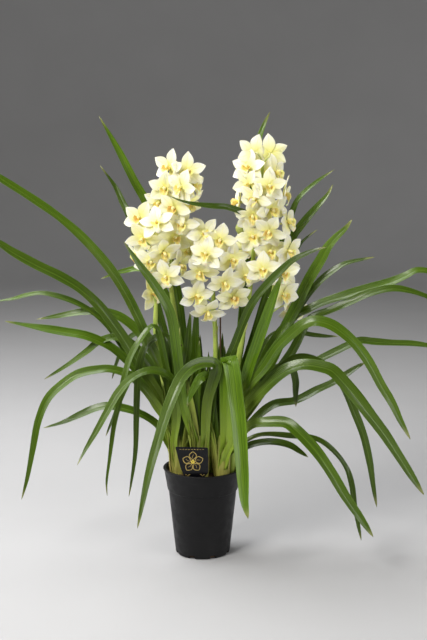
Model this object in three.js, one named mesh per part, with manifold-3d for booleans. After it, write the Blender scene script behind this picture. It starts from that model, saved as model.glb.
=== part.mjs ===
// A potted orchid: six strap-leaved growths and five flower stalks with cream blooms,
// in a tall plastic pot filled with bark.
// Millimetres, +Z up, the front is -Y; the pot's axis is the Z axis and it stands on z = 0.
import * as THREE from "three";
import { mergeVertices } from "three/addons/utils/BufferGeometryUtils.js";
import Module from "manifold-3d";

const kernel = await Module();
kernel.setup();

// Between parts, and the detail below which joined surfaces are smoothed
const GAP = 0.3;
const SMOOTHING = 0.25;

// Pot
const POT_HEIGHT = 190;
const POT_FOOT_RADIUS = 59;
const POT_FOOT_ROUND = 4;
const POT_COLLAR_Z = 143;
const POT_BODY_TOP_RADIUS = 73.6;
const POT_COLLAR_RADIUS = 76;
const POT_RIM_RADIUS = 83;
const POT_LIP_RADIUS = 85;
const POT_LIP_HEIGHT = 3.5;
const POT_WALL = 2;
const POT_FLOOR = 3;
const POT_SIDES = 24;
const DRAINS = 8;
const DRAIN_WIDTH = 14;
const DRAIN_HEIGHT = 7;
const DRAIN_INNER_RADIUS = 46;

// Bark mix
const SOIL_Z = 174;
const CHIPS = 13;
const CHIP_LENGTH = [16, 28];
const CHIP_WIDTH = [9, 15];
const CHIP_THICKNESS = [6, 10];
const CHIP_SINK = 1.5;
const CHIP_REACH = 60;
const CHIP_TILT = 0.5;

// Growths
const BULB_FOOT_Z = 152;
const BULB_SIDES = 10;
const BULB_FLATNESS = 0.8;
const BULB_PROFILE = [[0, 9], [22, 16], [46, 19], [74, 15], [100, 9], [116, 4]];
const LEAF_ROOT_RISE = 46;
const LEAF_THICKNESS = 1.3;
const LEAF_FOLD = 0.17;
const LEAF_FOOT_WIDTH = 0.62;
const LEAF_FULLNESS = 9;
const LEAF_STEP = 84;
const LEAF_STATIONS = 6;
const LEAF_CROWDING = 1.2;
const LEAF_FAN = 9;
const LEAF_STACK = 2.6;

// Stalks
const STALK_FOOT_Z = 154;
const STALK_FOOT_RADIUS = 5.6;
const STALK_TOP_RADIUS = 1.9;
const STALK_SIDES = 6;
const STALK_STEP = 70;
const STALK_HOLE = 1.2;
const BRACT_LENGTH = 46;
const BRACT_WIDTH = 15;
const PEDICEL_RADIUS = 1.9;
const PEDICEL_SIDES = 3;
const PEDICEL_STATIONS = 2;
const PEDICEL_DROPS = [22, 8, 36, 50];

// Blooms
const SEPAL_LENGTH = 40;
const SEPAL_WIDTH = 25;
const PETAL_LENGTH = 39;
const PETAL_WIDTH = 22;
const TEPAL_THICKNESS = 1.4;
const LIP_LENGTH = 27;
const LIP_WIDTH = 19;
const LIP_ROOT = 4;
const COLUMN_LENGTH = 15;
const COLUMN_RADIUS = 3.2;
const BLOOM_BACK = 9;
const BLOOM_SIDES = 4;
const TEPAL_ROOT = 2;
const PETAL_ROOT = 2.4;
const TEPAL_CUP = 0.02;
const TEPAL_SHAPE = [[0, 0], [0.42, 1], [0.8, 0.74], [1, 0]];
const BLOOM_CLEAR = 0.35;
const BLOOM_APART = 34;
const BLOOM_JOINT = 6;
const BUD_PROFILE = [[-12, 0], [-6, 7], [3, 9], [11, 5], [15, 0]];
const BUD_SIDES = 6;
const BUD_STEP = 15;

// Label, stick and clip
const LABEL_THICKNESS = 1;
const LABEL_Y = -66;
const LABEL_OUTLINE = [[-57, 252], [12, 250], [13, 196], [2, 182], [-10, 173],
  [-13, 150], [-21, 150], [-25, 173], [-37, 184], [-46, 206]];
const STICK_RADIUS = 2;
const STICK = [[38, -4, 110], [38, -4, 575]];
const CLIP_Z = 430;
const CLIP_HEIGHT = 5;
const CLIP_WALL = 1.6;

// The eye from which the readings below are taken.
const EYE = new THREE.Vector3(23.5, -2700, 978);

// Growths: where each stands in the mix.
const GROWTHS = {
  growth_front_left: [-52, -14],
  growth_back_left: [-36, 40],
  growth_front_centre: [-4, -36],
  growth_front_right: [40, -34],
  growth_back_right: [44, 32],
  growth_back_centre: [2, 42],
};

// Leaves: growth, width, lean of the face (0 looks forwards, 90 up), depth at the tip, and the points
// passed from base to tip, [x, z] as seen against the pot's middle plane, with a third number where the
// depth there is set.
const LEAVES = [
  ["growth_front_left", 22, 50, -60, [-60, 330], [-124, 485], [-145, 532], [-170, 580], [-200, 626],
    [-250, 683], [-300, 727], [-350, 763], [-430, 815], [-500, 858]],
  ["growth_front_left", 25, 50, -30, [-72, 260], [-90, 340], [-120, 390], [-150, 440], [-175, 480],
    [-200, 515], [-225, 545], [-260, 577], [-300, 602], [-350, 627], [-400, 655], [-430, 675],
    [-500, 705]],
  ["growth_front_left", 21, 45, -75, [-90, 310], [-150, 385], [-195, 403], [-225, 402], [-265, 393],
    [-300, 370], [-330, 340], [-352, 290], [-365, 230], [-380, 160], [-393, 115]],
  ["growth_front_left", 15, 60, -120, [-60, 280], [-80, 420], [-103, 497], [-130, 470], [-155, 425],
    [-168, 380], [-178, 330], [-190, 280], [-200, 210], [-208, 150], [-207, 124]],
  ["growth_front_left", 20, 50, -150, [-55, 300], [-70, 385], [-105, 400], [-130, 395], [-155, 380],
    [-180, 352], [-205, 310], [-230, 265], [-255, 222], [-271, 192]],
  ["growth_front_left", 20, 50, 0, [-75, 240], [-95, 278], [-120, 298], [-150, 312], [-180, 320],
    [-205, 323], [-230, 318], [-260, 305], [-300, 287], [-342, 275]],
  ["growth_front_left", 17, 40, -60, [-58, 300], [-80, 476], [-115, 460], [-130, 430], [-138, 380],
    [-142, 300], [-145, 220], [-155, 150], [-160, 122]],
  ["growth_back_left", 20, 35, 75, [-35, 400], [-60, 600], [-115, 755], [-140, 800], [-175, 870],
    [-213, 938]],
  ["growth_back_left", 17, 70, 100, [-50, 350], [-150, 725], [-165, 757], [-180, 790], [-212, 836]],
  ["growth_back_left", 18, 55, 70, [-45, 420], [-75, 560], [-120, 618], [-170, 614], [-190, 608],
    [-215, 598]],
  ["growth_back_left", 16, 60, 35, [-80, 330], [-170, 450], [-200, 495], [-225, 520], [-260, 543],
    [-300, 559], [-340, 567], [-370, 563], [-400, 555], [-430, 550], [-470, 530]],
  ["growth_back_left", 20, 55, 60, [-60, 350], [-95, 420], [-130, 478], [-150, 500], [-180, 520],
    [-215, 528], [-250, 528], [-300, 520], [-352, 512]],
  ["growth_back_left", 23, 50, 5, [-90, 310], [-140, 400], [-165, 425], [-190, 447], [-215, 462],
    [-250, 476], [-300, 485], [-350, 494], [-400, 504], [-418, 508]],
  ["growth_back_left", 18, 50, 20, [-85, 370], [-130, 440], [-160, 465], [-185, 473], [-205, 470],
    [-225, 460], [-240, 447], [-270, 425], [-300, 405], [-338, 382]],
  ["growth_back_left", 18, 50, 90, [-70, 350], [-120, 480], [-150, 475], [-178, 430], [-193, 383]],
  ["growth_back_left", 16, 50, 120, [-75, 300], [-140, 400], [-165, 360], [-190, 300], [-208, 257]],
  ["growth_front_centre", 25, 35, -230, [10, 330], [28, 413], [5, 418], [-20, 410], [-45, 385], [-62, 350],
    [-80, 300], [-95, 250], [-110, 200], [-122, 150], [-132, 100], [-142, 50]],
  ["growth_front_centre", 26, 20, -70, [12, 300], [15, 385], [0, 388], [-20, 360], [-30, 335],
    [-33, 322]],
  ["growth_front_centre", 21, 30, -90, [-40, 320], [-55, 450], [-70, 530], [-105, 590], [-130, 625],
    [-165, 678]],
  ["growth_front_centre", 20, 20, -30, [-30, 300], [-38, 400], [-32, 450], [-25, 530]],
  ["growth_front_right", 34, 30, -165, [52, 300], [57, 426], [64, 398], [70, 350], [76, 300], [80, 250],
    [84, 200], [88, 150], [91, 110], [99, 72]],
  ["growth_front_right", 26, 45, -170, [60, 230], [105, 280], [140, 287], [180, 285], [200, 270],
    [225, 245], [250, 215], [280, 170], [310, 120], [345, 70], [372, 30]],
  ["growth_front_right", 15, 60, -60, [70, 225], [120, 258], [200, 256], [225, 255], [255, 245],
    [285, 220], [310, 185], [322, 150], [330, 100], [346, 22]],
  ["growth_front_right", 30, 45, -130, [80, 300], [140, 370], [170, 395], [195, 408], [220, 412],
    [250, 408], [275, 400], [300, 375], [330, 340], [360, 300], [390, 260], [420, 215], [450, 170],
    [480, 125]],
  ["growth_front_right", 26, 45, -120, [75, 330], [100, 370], [130, 405], [160, 450], [190, 480],
    [215, 500], [240, 507], [270, 500], [300, 480], [330, 450], [355, 415], [380, 370], [405, 330],
    [425, 290], [447, 250]],
  ["growth_front_right", 18, 40, -110, [45, 300], [55, 420], [70, 460], [85, 500], [100, 535], [115, 560],
    [140, 590], [165, 615], [190, 637], [215, 650], [240, 660], [262, 666]],
  ["growth_front_right", 24, 35, -85, [75, 320], [103, 420], [115, 455], [128, 495], [140, 530],
    [150, 560], [168, 607]],
  ["growth_front_right", 20, 50, -30, [90, 320], [160, 400], [195, 425], [220, 428], [245, 420],
    [275, 400], [300, 365], [325, 310], [345, 260], [360, 200], [370, 140], [378, 98]],
  ["growth_back_centre", 20, 40, 50, [75, 350, 60], [140, 560, 62], [190, 688, 60], [204, 708], [222, 731],
    [243, 755], [261, 776], [272, 797]],
  ["growth_back_centre", 15, 65, 90, [75, 380, 68], [145, 600, 76], [190, 745, 84], [204, 771], [238, 802],
    [275, 828]],
  ["growth_back_centre", 14, 55, 30, [85, 350, 54], [120, 480, 52], [205, 670, 40], [225, 690],
    [240, 702]],
  ["growth_back_right", 26, 45, 10, [80, 280], [120, 370], [150, 430], [175, 490], [195, 530], [215, 575],
    [230, 605], [250, 640], [262, 663], [280, 685], [300, 705], [313, 724]],
  ["growth_back_right", 18, 55, 20, [90, 330], [180, 490], [205, 535], [225, 565], [250, 595], [275, 615],
    [300, 630], [340, 640], [362, 645]],
  ["growth_back_right", 22, 50, 0, [100, 350], [150, 460], [200, 520], [220, 530], [250, 545], [300, 562],
    [350, 578], [400, 592], [430, 605], [450, 615], [493, 610], [560, 590]],
  ["growth_back_right", 20, 50, -20, [95, 300], [140, 370], [190, 440], [230, 512], [270, 530], [310, 548],
    [350, 566], [400, 577], [440, 571], [490, 553], [540, 530]],
  ["growth_back_right", 18, 55, 60, [85, 340], [150, 475], [200, 483], [230, 478], [260, 475],
    [290, 475]],
  ["growth_back_right", 20, 55, 90, [100, 320], [150, 380], [250, 425], [280, 440], [310, 455], [335, 465],
    [360, 463], [400, 460], [450, 458], [490, 452], [560, 435]],
  ["growth_back_right", 20, 50, 130, [90, 270], [150, 325], [200, 335], [245, 358], [280, 375], [335, 412],
    [345, 418]],
  ["growth_back_right", 20, 50, 60, [90, 300], [150, 400], [185, 410], [198, 380], [199, 350],
    [200, 322]],
  ["growth_back_right", 18, 50, -10, [70, 215], [100, 235], [130, 243], [160, 243], [190, 235], [210, 222],
    [228, 210]],
  ["growth_back_centre", 20, 35, 80, [60, 350], [100, 700], [118, 890], [130, 925], [140, 946]],
  ["growth_back_centre", 15, 50, -60, [60, 350, 44], [98, 600, 52], [108, 690, 48], [109, 722, 20],
    [86, 738, -36], [50, 750, -60], [20, 752, -70], [-20, 757, -70], [-50, 765, -65], [-72, 775, -60]],
  ["growth_back_centre", 18, 30, 30, [-12, 300], [-15, 460], [-10, 560]],
];

// Flower stalks, from foot to top: [x, y] in the mix, then the points [x, z, depth] passed.
const STALKS = {
  stalk_left: [[-64, 14], [-80, 370, 2], [-98, 450, -8], [-98, 540, -8], [-102, 620, -6], [-112, 675, -4],
    [-121, 703, 0]],
  stalk_top_left: [[-26, 2], [-45, 400, 4], [-55, 500, 8], [-68, 600, 10], [-64, 700, 6], [-56, 780, 0],
    [-50, 812, 0]],
  stalk_centre: [[20, -4], [28, 450, 4], [22, 590, 4], [25, 690, 0]],
  stalk_top_right: [[63, -7], [75, 420, -8], [95, 530, -2], [110, 680, 4], [122, 790, 6], [126, 838, 6]],
  stalk_right: [[64.5, 9], [76, 300, 5], [108, 420, 6], [138, 520, 2], [152, 590, 0], [156, 640, 0]],
};

// Blooms: stalk, [x, z] of the centre as seen against the pot's middle plane, depth, turn to the right,
// turn upwards, roll, and form.
const BLOOMS = [
  ["stalk_top_left", -67, 830, -18, -14, 8, 12, 0],
  ["stalk_top_left", -32, 824, -26, 14, 6, -12, 1],
  ["stalk_top_left", -76, 788, -26, -28, 10, 15, 0],
  ["stalk_top_left", -42, 790, -46, 4, -4, -6, 1],
  ["stalk_top_left", -20, 794, -22, 42, 2, -5, 0],
  ["stalk_top_left", -86, 760, -24, -28, -4, 10, 0],
  ["stalk_top_left", -58, 748, -42, 2, -18, 0, 1],
  ["stalk_top_left", -28, 757, -14, 45, -16, -10, 0],
  ["stalk_top_left", -44, 716, -36, 14, -12, 8, 1],
  ["stalk_top_left", -58, 795, 34, -165, 5, 0, 0],
  ["stalk_left", -130, 724, -4, -34, 30, 0, 0],
  ["stalk_left", -94, 714, -24, 8, 18, -8, 1],
  ["stalk_left", -122, 684, -34, -18, 2, 8, 0],
  ["stalk_left", -60, 682, -20, 28, 0, -6, 1],
  ["stalk_left", -82, 656, -48, 4, -12, 0, 0],
  ["stalk_left", -52, 626, -24, 28, -10, 0, 1],
  ["stalk_left", -134, 652, 4, -52, -10, 10, 0],
  ["stalk_left", -106, 634, -34, -16, -16, -6, 1],
  ["stalk_left", -76, 604, -20, 2, -30, 0, 1],
  ["stalk_left", -107, 567, -30, 38, -4, 8, 0],
  ["stalk_left", -98, 685, 32, -160, 5, 0, 1],
  ["stalk_centre", 3, 693, -30, -8, 8, 5, 1],
  ["stalk_centre", 38, 681, -38, 16, 6, -6, 0],
  ["stalk_centre", -26, 660, -16, -30, 4, 10, 0],
  ["stalk_centre", 9, 650, -50, -5, -5, 0, 1],
  ["stalk_centre", 60, 640, -36, 24, -2, -8, 0],
  ["stalk_centre", -4, 614, -36, -16, -18, 6, 1],
  ["stalk_centre", 46, 592, -50, 12, -14, 0, 0],
  ["stalk_centre", 90, 606, -26, 38, -8, 0, 1],
  ["stalk_centre", 66, 560, -30, 25, -32, 0, 1],
  ["stalk_centre", -14, 562, -36, 12, -8, 6, 0],
  ["stalk_centre", 10, 530, -40, 12, -26, 0, 1],
  ["stalk_centre", 90, 664, 12, 140, 10, 0, 0],
  ["stalk_centre", 2, 655, 30, -160, 0, 0, 1],
  ["stalk_top_right", 108, 862, 5, -150, 10, 0, 1],
  ["stalk_top_right", 140, 860, 10, 150, 10, 0, 0],
  ["stalk_top_right", 97, 830, -15, -50, 2, 0, 1],
  ["stalk_top_right", 150, 820, -16, 40, 6, 0, 0],
  ["stalk_top_right", 98, 797, -20, -38, 6, 8, 0],
  ["stalk_top_right", 138, 792, -46, 8, 0, -6, 1],
  ["stalk_top_right", 112, 768, -42, -14, -8, 0, 1],
  ["stalk_top_right", 168, 776, -10, 48, 0, 0, 0],
  ["stalk_top_right", 78, 760, 10, -60, -5, 0, 1],
  ["stalk_top_right", 144, 744, -42, 12, -14, 8, 0],
  ["stalk_top_right", 104, 732, -30, -22, -6, 0, 1],
  ["stalk_top_right", 176, 718, -14, 42, -2, 0, 1],
  ["stalk_top_right", 140, 700, -42, 6, -10, -8, 0],
  ["stalk_top_right", 106, 688, -34, -14, -8, 6, 0],
  ["stalk_top_right", 130, 815, 34, 170, 5, 0, 1],
  ["stalk_right", 178, 658, -25, 30, 6, 0, 1],
  ["stalk_right", 140, 655, -40, -10, 4, 8, 0],
  ["stalk_right", 128, 618, -38, -12, -8, -6, 0],
  ["stalk_right", 168, 610, -24, 25, -8, 0, 1],
  ["stalk_right", 170, 566, -20, 18, -28, 8, 0],
  ["stalk_right", 193, 533, 25, 25, -20, 0, 1],
  ["stalk_right", 165, 625, 34, 160, 0, 0, 0],
];

// Buds: stalk, and the middle as seen against the pot's middle plane, with its depth.
const BUDS = [["stalk_top_right", 78, 704, 0]];

// Steps a bloom may take from where it is listed, until it is clear of what stands there, or well joined
// to blooms of its own stalk, and its pedicel is clear.
const SIDE_STEPS = [[0, 0], [7, 0], [-7, 0], [0, 7], [0, -7], [14, 0], [-14, 0], [0, 14], [0, -14]];
const DEPTH_STEPS = [0, 8, -8, 16, -16, 24, -24, 34, -34, 44, -44, 56, -56];
const TURN_STEPS = [[0, 0], [14, 0], [-14, 0], [0, 14], [0, -14], [26, 0], [-26, 0], [0, 28], [0, -28]];

// The most that each bloom is turned at random, in degrees: to the right, upwards, and rolled
const SWAY = [20, 18, 28];
const SWAY_SEED = 12;

const GREEN = new THREE.MeshStandardMaterial({ color: 0x4c7a2c, roughness: 0.38 });
const STALK_GREEN = new THREE.MeshStandardMaterial({ color: 0x8fa04a, roughness: 0.5 });
const CREAM = new THREE.MeshStandardMaterial({ color: 0xf3eed6, roughness: 0.5 });
const BLACK = new THREE.MeshStandardMaterial({ color: 0x17181a, roughness: 0.55 });
const CARD = new THREE.MeshStandardMaterial({ color: 0x101214, roughness: 0.35 });
const BARK = new THREE.MeshStandardMaterial({ color: 0x5a3c26, roughness: 0.9 });
const WOOD = new THREE.MeshStandardMaterial({ color: 0x4a2f22, roughness: 0.7 });

const orchid = new THREE.Group();

// The point that lies at x, z against the pot's middle plane for the eye, moved to the depth y.
function seen(x, z, y) {
  const scale = (y - EYE.y) / -EYE.y;
  return new THREE.Vector3(EYE.x + (x - EYE.x) * scale, y, EYE.z + (z - EYE.z) * scale);
}

function solid(geometry) {
  const bare = new THREE.BufferGeometry();
  bare.setAttribute("position", geometry.getAttribute("position"));
  if (geometry.index) {
    bare.setIndex(geometry.index);
  }
  const merged = mergeVertices(bare, 1e-3);
  return new kernel.Manifold(
    new kernel.Mesh({
      numProp: 3,
      vertProperties: merged.attributes.position.array,
      triVerts: new Uint32Array(merged.index.array),
    }),
  );
}

// A solid through rings of points, closed at both ends. All have the same count, but either end may be
// one point. Where a blade has its upper side first, upper counts its strips, and the strips below are
// split along the same diagonals, so that the two sides stay apart where it twists.
function loft(rings, upper = rings[1].length) {
  const count = rings[1].length;
  const points = rings.flat();
  const faces = [];
  let start = 0;
  for (let r = 0; r + 1 < rings.length; r += 1) {
    const next = start + rings[r].length;
    for (let i = 0; i < count; i += 1) {
      const j = (i + 1) % count;
      if (rings[r].length === 1) {
        faces.push(start, next + j, next + i);
      } else if (rings[r + 1].length === 1) {
        faces.push(start + i, start + j, next);
      } else if (i < upper) {
        faces.push(start + i, start + j, next + j, start + i, next + j, next + i);
      } else {
        faces.push(start + i, start + j, next + i, start + j, next + j, next + i);
      }
    }
    start = next;
  }
  for (let i = 1; i + 1 < count; i += 1) {
    if (rings[0].length > 1) {
      faces.push(0, i + 1, i);
    }
    if (rings.at(-1).length > 1) {
      faces.push(start, start + i, start + i + 1);
    }
  }
  const build = (index) => {
    const geometry = new THREE.BufferGeometry().setFromPoints(points);
    geometry.setIndex(index);
    return solid(geometry);
  };
  const made = build(faces);
  return made.volume() > 0 ? made : build(faces.reverse());
}

function join(solids) {
  return kernel.Manifold.union(solids).simplify(SMOOTHING);
}

function largest(made) {
  const bodies = made.decompose();
  return bodies.reduce((best, body) => (body.volume() > best.volume() ? body : best));
}

// The solid with the small pockets closed off between crossing blades filled.
function filled(made) {
  return join(made.decompose().filter((body) => body.volume() > 0));
}

function add(name, made, material) {
  const shape = made.getMesh();
  const geometry = new THREE.BufferGeometry();
  geometry.setAttribute("position", new THREE.BufferAttribute(new Float32Array(shape.vertProperties), 3));
  geometry.setIndex(new THREE.BufferAttribute(new Uint32Array(shape.triVerts), 1));
  geometry.computeVertexNormals();
  const mesh = new THREE.Mesh(geometry, material);
  mesh.name = name;
  orchid.add(mesh);
}

// A seeded stream of numbers between 0 and 1.
function stream(seed) {
  let state = seed;
  return () => {
    state = (state * 16807) % 2147483647;
    return state / 2147483647;
  };
}

// Stations along a smooth line through points, about step apart, or closer to its end where crowding
// is over 1.
function stations(points, step, least = 2, crowding = 1) {
  const curve = new THREE.CatmullRomCurve3(points, false, "centripetal");
  const count = Math.max(least, Math.round(curve.getLength() / step));
  const list = [];
  for (let i = 0; i <= count; i += 1) {
    const u = 1 - (1 - i / count) ** crowding;
    list.push({ at: curve.getPointAt(u), along: curve.getTangentAt(u), u });
  }
  return list;
}

// A round rod along stations, with radius(u) at each.
function rod(list, radius, sides) {
  let side = new THREE.Vector3(1, 0, 0);
  const rings = list.map(({ at, along, u }) => {
    side = side.clone().addScaledVector(along, -side.dot(along)).normalize();
    const other = new THREE.Vector3().crossVectors(along, side);
    const ring = [];
    for (let i = 0; i < sides; i += 1) {
      const angle = (2 * Math.PI * i) / sides;
      const offset = side.clone().multiplyScalar(Math.cos(angle)).addScaledVector(other, Math.sin(angle));
      ring.push(at.clone().addScaledVector(offset, radius(u)));
    }
    return ring;
  });
  return loft(rings);
}

// A folded blade along stations: two edges, a groove above and a keel below, running to a point.
// Without a groove its upper side is flat from edge to edge.
function blade(list, face, width, fold, thickness, grooved = true) {
  const rings = list.map(({ at, along, u }) => {
    if (width(u) === 0) {
      return [at];
    }
    const across = new THREE.Vector3().crossVectors(along, face).normalize();
    const up = new THREE.Vector3().crossVectors(across, along);
    const half = width(u) / 2;
    const rise = 2 * half * fold;
    const left = at.clone().addScaledVector(across, -half).addScaledVector(up, rise);
    const groove = at.clone().addScaledVector(up, thickness / 2);
    const right = at.clone().addScaledVector(across, half).addScaledVector(up, rise);
    const keel = at.clone().addScaledVector(up, -thickness / 2);
    return grooved ? [left, groove, right, keel] : [left, right, keel];
  });
  return loft(rings, grooved ? 2 : 1);
}

function turned(profile) {
  const points = profile.map(([radius, z]) => new THREE.Vector2(radius, z));
  const geometry = new THREE.LatheGeometry(points, POT_SIDES);
  geometry.rotateX(Math.PI / 2);
  const made = solid(geometry);
  if (made.volume() > 0) {
    return made;
  }
  throw new Error("the profile runs the wrong way round");
}

function wallRadius(z) {
  if (z < POT_COLLAR_Z) {
    return POT_FOOT_RADIUS + ((POT_BODY_TOP_RADIUS - POT_FOOT_RADIUS) * z) / POT_COLLAR_Z - POT_WALL;
  }
  const share = (z - POT_COLLAR_Z) / (POT_HEIGHT - POT_COLLAR_Z);
  return POT_BODY_TOP_RADIUS + (POT_RIM_RADIUS - POT_COLLAR_RADIUS + 1) * share - POT_WALL;
}

function makePot() {
  const lipZ = POT_HEIGHT - POT_LIP_HEIGHT;
  const wall = turned([
    [0, 0],
    [POT_FOOT_RADIUS - POT_FOOT_ROUND, 0],
    [POT_FOOT_RADIUS - 1, 1.2],
    [POT_FOOT_RADIUS, POT_FOOT_ROUND],
    [POT_BODY_TOP_RADIUS, POT_COLLAR_Z - 2],
    [POT_COLLAR_RADIUS, POT_COLLAR_Z],
    [POT_RIM_RADIUS, lipZ],
    [POT_LIP_RADIUS, lipZ + 0.8],
    [POT_LIP_RADIUS, POT_HEIGHT - 0.6],
    [POT_LIP_RADIUS - 0.6, POT_HEIGHT],
    [wallRadius(POT_HEIGHT), POT_HEIGHT],
    [wallRadius(POT_COLLAR_Z), POT_COLLAR_Z],
    [wallRadius(POT_FLOOR), POT_FLOOR],
    [0, POT_FLOOR],
  ]);
  const cutters = [];
  const outside = POT_FOOT_RADIUS + 10;
  for (let i = 0; i < DRAINS; i += 1) {
    const box = new THREE.BoxGeometry(outside - DRAIN_INNER_RADIUS, DRAIN_WIDTH, 2 * DRAIN_HEIGHT);
    box.translate((outside + DRAIN_INNER_RADIUS) / 2, 0, 0);
    box.rotateZ((2 * Math.PI * (i + 0.5)) / DRAINS);
    cutters.push(solid(box));
  }
  return wall.subtract(join(cutters));
}

// The bulb's shape about its centre, spread by extra.
function bulb([x, y], extra) {
  const rings = BULB_PROFILE.map(([rise, radius], index) => {
    const drop = index === 0 ? extra : 0;
    const ring = [];
    for (let i = 0; i < BULB_SIDES; i += 1) {
      const angle = (2 * Math.PI * i) / BULB_SIDES;
      const reach = radius + extra;
      ring.push(
        new THREE.Vector3(
          x + reach * Math.cos(angle),
          y + (reach - (1 - BULB_FLATNESS) * radius) * Math.sin(angle),
          BULB_FOOT_Z + rise - drop,
        ),
      );
    }
    return ring;
  });
  return loft(rings);
}

// The leaf's line from its root in the bulb; order is its place from the front, about the growth's middle.
function leafStations(leaf, order) {
  const [growth, , , depth, ...points] = leaf;
  const [x, middleY] = GROWTHS[growth];
  const y = middleY + order * LEAF_STACK;
  const [firstX] = points[0];
  const side = Math.sign(firstX - x) * LEAF_FAN;
  const root = new THREE.Vector3(x + 0.4 * side, y, BULB_FOOT_Z + LEAF_ROOT_RISE);
  const neck = new THREE.Vector3(x + side, y, BULB_FOOT_Z + 2 * LEAF_ROOT_RISE);
  const path = points.map(([px, pz, set], index) => {
    const share = (index + 1) / points.length;
    return seen(px, pz, set ?? y + (depth - y) * share ** 1.2);
  });
  const raised = path[0].z > neck.z + LEAF_ROOT_RISE / 2 ? [root, neck, ...path] : [root, ...path];
  return stations(raised, LEAF_STEP, LEAF_STATIONS, LEAF_CROWDING);
}

function leafWidth(width, u) {
  const foot = LEAF_FOOT_WIDTH + (1 - LEAF_FOOT_WIDTH) * Math.min(1, u / 0.35);
  return u < 1 ? width * foot * (1 - u ** LEAF_FULLNESS) ** 0.5 : 0;
}

function makeLeaf(leaf, order) {
  const [, width, lean] = leaf;
  const angle = THREE.MathUtils.degToRad(lean);
  const face = new THREE.Vector3(0, -Math.cos(angle), Math.sin(angle));
  return blade(leafStations(leaf, order), face, (u) => leafWidth(width, u), LEAF_FOLD, LEAF_THICKNESS);
}

function makeGrowth(name) {
  const leaves = LEAVES.filter((leaf) => leaf[0] === name).sort((a, b) => a[3] - b[3]);
  const parts = leaves.map((leaf, index) => makeLeaf(leaf, index - (leaves.length - 1) / 2));
  return filled(join([bulb(GROWTHS[name], 0), ...parts]));
}

function stalkStations(name) {
  const [[x, y], ...points] = STALKS[name];
  const path = points.map(([px, pz, depth]) => seen(px, pz, depth));
  const foot = { at: new THREE.Vector3(x, y, STALK_FOOT_Z), along: new THREE.Vector3(0, 0, 1), u: 0 };
  return [foot, ...stations([new THREE.Vector3(x, y, SOIL_Z + 12), ...path], STALK_STEP)];
}

function stalkRadius(u) {
  return STALK_FOOT_RADIUS + (STALK_TOP_RADIUS - STALK_FOOT_RADIUS) * u ** 1.5;
}

function bracts(name) {
  const list = stalkStations(name);
  const made = [];
  for (let i = 3; i < list.length - 1; i += 2) {
    const { at, along, u } = list[i];
    const side = new THREE.Vector3(i % 2 ? 1 : -1, -0.6, 0).normalize();
    const radius = stalkRadius(u);
    const length = BRACT_LENGTH * (1 - 0.75 * u);
    const tip = at.clone().addScaledVector(along, length).addScaledVector(side, radius + 3);
    const middle = at.clone().addScaledVector(along, length * 0.5).addScaledVector(side, radius + 0.6);
    const line = stations([at.clone().addScaledVector(side, radius * 0.5), middle, tip], length / 2);
    made.push(blade(line, side, (v) => BRACT_WIDTH * (1 - 0.6 * u) * (1 - 0.5 * v), -0.2, 1.6, false));
  }
  return made;
}

// One sepal or petal out from the bloom's middle: angle from straight up, clockwise from the front,
// and root, how far in front of the middle it begins.
function tepal(angle, length, width, root, bow, tipBow) {
  const out = new THREE.Vector3(Math.sin(angle), Math.cos(angle), 0);
  const list = TEPAL_SHAPE.map(([u]) => {
    const at = out.clone().multiplyScalar(TEPAL_ROOT + u * (length - TEPAL_ROOT));
    at.z = root + bow * u + tipBow * u * u;
    const along = out.clone().multiplyScalar(length);
    along.z = bow + 2 * tipBow * u;
    return { at, along: along.normalize(), u };
  });
  const share = new Map(TEPAL_SHAPE);
  const face = new THREE.Vector3(0, 0, 1);
  return blade(list, face, (u) => width * share.get(u), TEPAL_CUP, TEPAL_THICKNESS, false);
}

// A whole bloom, facing +Z with its top sepal to +Y; forms differ in how far the parts spread.
function makeBloom(form) {
  const spread = form ? 0.5 : 0;
  const middle = [
    ring(0, 0, -BLOOM_BACK, 2),
    ring(0, 0, 0.5, 5.6),
    ring(0, 2.5, COLUMN_LENGTH, COLUMN_RADIUS),
  ];
  const lip = [
    [-11, 13, LIP_WIDTH, 4],
    [-LIP_LENGTH, 12, LIP_WIDTH * 0.6, -1],
  ].map(([y, z, width, rise]) => [
    new THREE.Vector3(-width / 2, y + rise, z + rise * 0.5),
    new THREE.Vector3(width / 2, y + rise, z + rise * 0.5),
    new THREE.Vector3(0, y - 1.4, z - 0.8),
  ]);
  return join([
    loft(middle),
    loft([[new THREE.Vector3(0, 0, LIP_ROOT)], ...lip]),
    tepal(0, SEPAL_LENGTH, SEPAL_WIDTH, 0, 2, 5 - 10 * spread),
    tepal(2.2, SEPAL_LENGTH - 1, SEPAL_WIDTH - 1, 0, 1, -4 + 8 * spread),
    tepal(-2.15, SEPAL_LENGTH - 2, SEPAL_WIDTH, 0, 1, -4 + 6 * spread),
    tepal(1.22, PETAL_LENGTH, PETAL_WIDTH, PETAL_ROOT, 3, 5 - 6 * spread),
    tepal(-1.25, PETAL_LENGTH - 1, PETAL_WIDTH + 1, PETAL_ROOT, 3, 4 - 8 * spread),
  ]);
}

function ring(x, y, z, radius) {
  const points = [];
  for (let i = 0; i < BLOOM_SIDES; i += 1) {
    const angle = Math.PI * (0.25 + (2 * i) / BLOOM_SIDES);
    points.push(new THREE.Vector3(x + radius * Math.cos(angle), y + radius * Math.sin(angle), z));
  }
  return points;
}

const FORMS = [makeBloom(0), makeBloom(1)];

// Where a bloom stands: its middle, and the turn that faces it the way asked.
function bloomPlace([, x, z, depth, right, up, roll]) {
  const turn = new THREE.Matrix4().makeRotationZ(THREE.MathUtils.degToRad(right));
  turn.multiply(new THREE.Matrix4().makeRotationX(Math.PI / 2 - THREE.MathUtils.degToRad(up)));
  turn.multiply(new THREE.Matrix4().makeRotationZ(THREE.MathUtils.degToRad(roll)));
  return turn.setPosition(seen(x, z, depth));
}

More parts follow.
